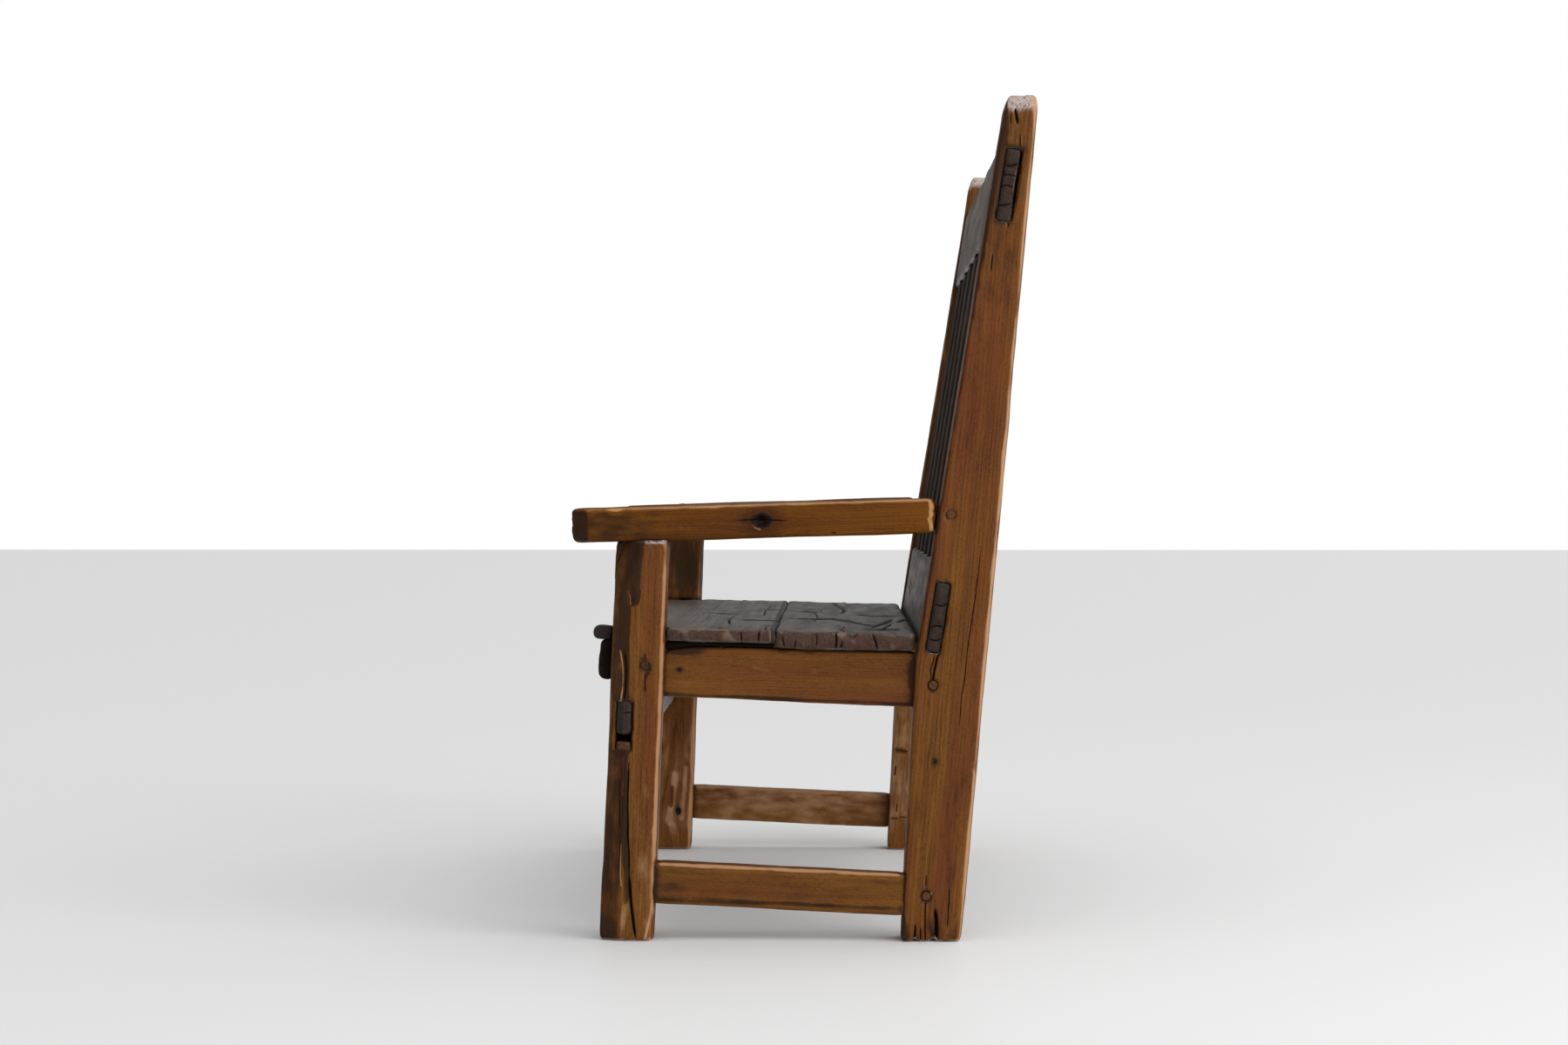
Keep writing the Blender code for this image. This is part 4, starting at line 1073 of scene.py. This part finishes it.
class Nodes:
    """Short ways to add nodes to a tree."""

    def __init__(self, tree):
        self.tree = tree

    def put(self, socket, value):
        if isinstance(value, bpy.types.NodeSocket):
            self.tree.links.new(value, socket)
        else:
            socket.default_value = value

    def add(self, kind, *values):
        """A node with values or links in its first sockets."""
        node = self.tree.nodes.new(kind)
        for socket, value in zip(node.inputs, values):
            self.put(socket, value)
        return node

    def layer(self, name, output="Fac"):
        node = self.add("ShaderNodeAttribute")
        node.attribute_name = name
        return node.outputs[output]

    def math(self, operation, one, other, clamp=False):
        node = self.add("ShaderNodeMath", one, other)
        node.operation = operation
        node.use_clamp = clamp
        return node.outputs[0]

    def scaled(self, value, amount):
        return self.math("MULTIPLY", value, amount)

    def centred(self, value, amount):
        """A value from 0 to 1 moved to lie about 0, times an amount."""
        return self.scaled(self.math("SUBTRACT", value, 0.5), amount)

    def inverse(self, value):
        return self.math("SUBTRACT", 1.0, value)

    def vector(self, operation, one, other, output="Vector"):
        node = self.add("ShaderNodeVectorMath", one, other)
        node.operation = operation
        return node.outputs[output]

    def step(self, value, *limits):
        """A soft step between two limits, from 0 to 1 or between two values given after them."""
        node = self.add("ShaderNodeMapRange", value, *limits)
        node.interpolation_type = "SMOOTHSTEP"
        return node.outputs["Result"]

    def noise(self, vector, kind, output="Fac"):
        along, across, detail = WOOD_NOISE[kind]
        cells = self.vector("MULTIPLY", vector, (along, across, across))
        node = self.add("ShaderNodeTexNoise", cells)
        node.inputs["Scale"].default_value = 1.0
        node.inputs["Detail"].default_value = detail
        return node.outputs[output]

    def mix(self, factor, one, other):
        node = self.add("ShaderNodeMix", factor)
        node.data_type = "RGBA"
        self.put(node.inputs[6], one)
        self.put(node.inputs[7], other)
        return node.outputs[2]


class Timber(Nodes):
    """A wood with rings, fibres, patches, worn places, dirt, painted highlights and shade, knots,
    splits and end grain.
    """

    def __init__(self, name, look):
        self.material = bpy.data.materials.new(name)
        self.material.use_nodes = True
        super().__init__(self.material.node_tree)
        self.look = look
        surface = self.tree.nodes["Principled BSDF"].inputs
        self.grow()
        colour = self.flawed_colour(self.worn_and_painted_light_colour(self.sound_colour()))
        self.put(surface["Base Color"], colour)
        self.put(surface["Roughness"], self.roughness())
        self.put(surface["Specular IOR Level"], look["gloss"])
        self.put(surface["Normal"], self.relief())

    def paint(self, name):
        return linear(self.look[name])

    def grow(self):
        """The layers of the mesh and the patterns of the wood, by name."""
        grain = self.layer("grain", "Vector")
        wood = {name: self.layer(name) for name in ("tone", "split", "knot", "cut")}
        bent = grain
        for kind, size in RING_BENDS.items():
            swing = self.vector("SUBTRACT", self.noise(grain, kind, "Color"), (0.5, 0.5, 0.5))
            bent = self.vector("ADD", bent, self.vector("MULTIPLY", swing, (0, size, size)))
        across = self.vector("MULTIPLY", bent, (0, 1, 1))
        radius = self.vector("LENGTH", across, (0, 0, 0), "Value")
        turns = self.math("FRACT", self.math("DIVIDE", radius, self.look["ring"]), 0.0)
        ring_end = self.inverse(self.step(turns, *RING_END))
        wood["late"] = self.math("MULTIPLY", self.step(turns, *LATE_WOOD), ring_end)
        wood["years"] = self.noise(bent, "years")
        for kind in ("fibre", "grit", "mottle", "broken"):
            wood[kind] = self.noise(grain, kind)
        for kind, limits in PATTERN_RANGES.items():
            wood[kind] = self.step(self.noise(grain, kind), *limits)
        wood["end_pits"] = self.math("MULTIPLY", wood["pits"], wood["cut"])
        self.wood = wood

    def sound_colour(self):
        """The colour of the timber and its end grain before wear."""
        wood, look, paint = self.wood, self.look, self.paint
        strengths = {"years": look["lines"], "fibre": look["lines"], "grit": look["speckle"],
                     "mottle": MOTTLE_DARKNESS}
        darkness = self.scaled(wood["late"], look["contrast"])
        for pattern, strength in strengths.items():
            darkness = self.math("ADD", darkness, self.centred(wood[pattern], strength))
        darkness = self.math("ADD", darkness, BASE_DARKNESS, True)
        ground = self.mix(wood["hue"], paint("light"), paint("warm"))
        colour = self.mix(darkness, ground, paint("dark"))
        colour = self.mix(self.scaled(wood["fleck"], FLECK_STAIN), colour, paint("stain"))
        colour = self.mix(self.scaled(wood["patch"], look["patches"]), colour, paint("stain"))
        end_grain = self.mix(self.scaled(wood["late"], END_RINGS), paint("end"), paint("dark"))
        end_grain = self.mix(self.scaled(wood["pits"], END_PITS), end_grain, paint("stain"))
        return self.mix(wood["cut"], colour, end_grain)

    def worn_and_painted_light_colour(self, colour):
        """A colour with its pale places, worn and painted highlights, and its dark places, dirt and
        painted shade.
        """
        shade = self.math("ADD", self.wood["tone"], self.centred(self.wood["broken"], TONE_BREAKS))
        pale = self.scaled(self.step(shade, *PALE_RANGE), PALE_MOST)
        dirt_and_shade = self.scaled(self.step(self.scaled(shade, -1.0), *DIRT_AND_SHADE_RANGE), DIRT_AND_SHADE_MOST)
        self.wood["dirt_and_shade"] = dirt_and_shade
        return self.mix(dirt_and_shade, self.mix(pale, colour, self.paint("pale")), self.paint("stain"))

    def flawed_colour(self, colour):
        """A colour with its knot and its splits."""
        swirl = self.math("ADD", self.wood["knot"], self.centred(self.wood["mottle"], KNOT_SWIRL))
        halo = self.scaled(self.inverse(self.step(swirl, *KNOT_HALO)), KNOT_HALO_MOST)
        colour = self.mix(halo, colour, self.paint("stain"))
        plug = self.mix(self.step(swirl, *KNOT_RIM), linear(KNOT_COLOUR), linear(SPLIT_COLOUR))
        colour = self.mix(self.inverse(self.step(swirl, *KNOT_EDGE)), colour, plug)
        return self.mix(self.step(self.wood["split"], *SPLIT_EDGE), colour, linear(SPLIT_COLOUR))

    def roughness(self):
        """The roughness of the look, changed by the patterns."""
        mottle = self.centred(self.wood["mottle"], MOTTLE_ROUGHNESS)
        rough = self.math("ADD", self.look["roughness"], mottle)
        for pattern, amount in ROUGHNESS.items():
            rough = self.math("ADD", rough, self.scaled(self.wood[pattern], amount), True)
        return rough

    def relief(self):
        """Fine relief of the rings, the fibres and the end grain."""
        height = 0.0
        for pattern, amount in RELIEF.items():
            height = self.math("ADD", height, self.scaled(self.wood[pattern], amount))
        bump = self.add("ShaderNodeBump")
        bump.inputs["Strength"].default_value = BUMP_STRENGTH
        bump.inputs["Distance"].default_value = BUMP_DISTANCE
        self.put(bump.inputs["Height"], height)
        return bump.outputs["Normal"]


# Camera: where it stands, how it is turned from the -X direction, and its lens.
CAMERA_PLACE = (4.975, 0.046, 0.644)
CAMERA_TURN = 0.98
CAMERA_DIP = 0.54
CAMERA_LENS = 70.0
CAMERA_SENSOR = 36.0
# Light: a soft glow all round, strongest from the right and above, and one large soft lamp.
LIGHT_FROM = (0.45, 0.8, 0.55)
LIGHT_SPREAD = (-0.5, 1.0)
LIGHT_STRENGTHS = (0.3, 1.5)
KEY_PLACE = (2.4, 3.0, 2.4)
KEY_TARGET = (0, 0, 0.6)
KEY_SIZE = 2.2
KEY_POWER = 45
WHITE = (1, 1, 1, 1)
FLOOR_SIZE = 60
FLOOR_COLOUR = (0.78, 0.78, 0.78, 1)
FLOOR_ROUGHNESS = 0.5


def add_floor():
    bpy.ops.mesh.primitive_plane_add(size=FLOOR_SIZE, location=(0, 0, 0))
    floor = bpy.context.object
    floor.name = "floor"
    plain = bpy.data.materials.new("floor")
    plain.use_nodes = True
    surface = plain.node_tree.nodes["Principled BSDF"].inputs
    surface["Base Color"].default_value = FLOOR_COLOUR
    surface["Roughness"].default_value = FLOOR_ROUGHNESS
    floor.data.materials.append(plain)


def add_glow():
    """A glow all round, with a white background for the camera."""
    world = bpy.data.worlds.new("studio")
    world.use_nodes = True
    sky = Nodes(world.node_tree)
    direction = sky.add("ShaderNodeTexCoord").outputs["Generated"]
    towards = sky.vector("DOT_PRODUCT", direction, Vector(LIGHT_FROM).normalized(), "Value")
    glow = sky.tree.nodes["Background"]
    sky.put(glow.inputs["Color"], WHITE)
    sky.put(glow.inputs["Strength"], sky.step(towards, *LIGHT_SPREAD, *LIGHT_STRENGTHS))
    seen = sky.add("ShaderNodeBackground", WHITE)
    ray = sky.add("ShaderNodeLightPath").outputs["Is Camera Ray"]
    shaders = [node.outputs["Background"] for node in (glow, seen)]
    choice = sky.add("ShaderNodeMixShader", ray, *shaders)
    sky.put(sky.tree.nodes["World Output"].inputs["Surface"], choice.outputs["Shader"])
    bpy.context.scene.world = world


def add_key():
    data = bpy.data.lights.new("key", "AREA")
    data.shape = "SQUARE"
    data.size = KEY_SIZE
    data.energy = KEY_POWER
    lamp = linked("key", data)
    lamp.location = KEY_PLACE
    heading = Vector(KEY_TARGET) - Vector(KEY_PLACE)
    lamp.rotation_euler = heading.to_track_quat("-Z", "Y").to_euler()


def add_camera():
    data = bpy.data.cameras.new("camera")
    data.lens = CAMERA_LENS
    data.sensor_width = CAMERA_SENSOR
    data.sensor_fit = "HORIZONTAL"
    camera = linked("camera", data)
    camera.location = CAMERA_PLACE
    camera.rotation_euler = (radians(90 - CAMERA_DIP), 0, radians(90 + CAMERA_TURN))
    bpy.context.scene.camera = camera


materials = {look: Timber(look + "_wood", values).material for look, values in LOOKS.items()}
for name in sorted(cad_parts):
    weathered(name, materials)
bpy.context.scene.view_settings.view_transform = "Standard"
add_floor()
add_glow()
add_key()
add_camera()
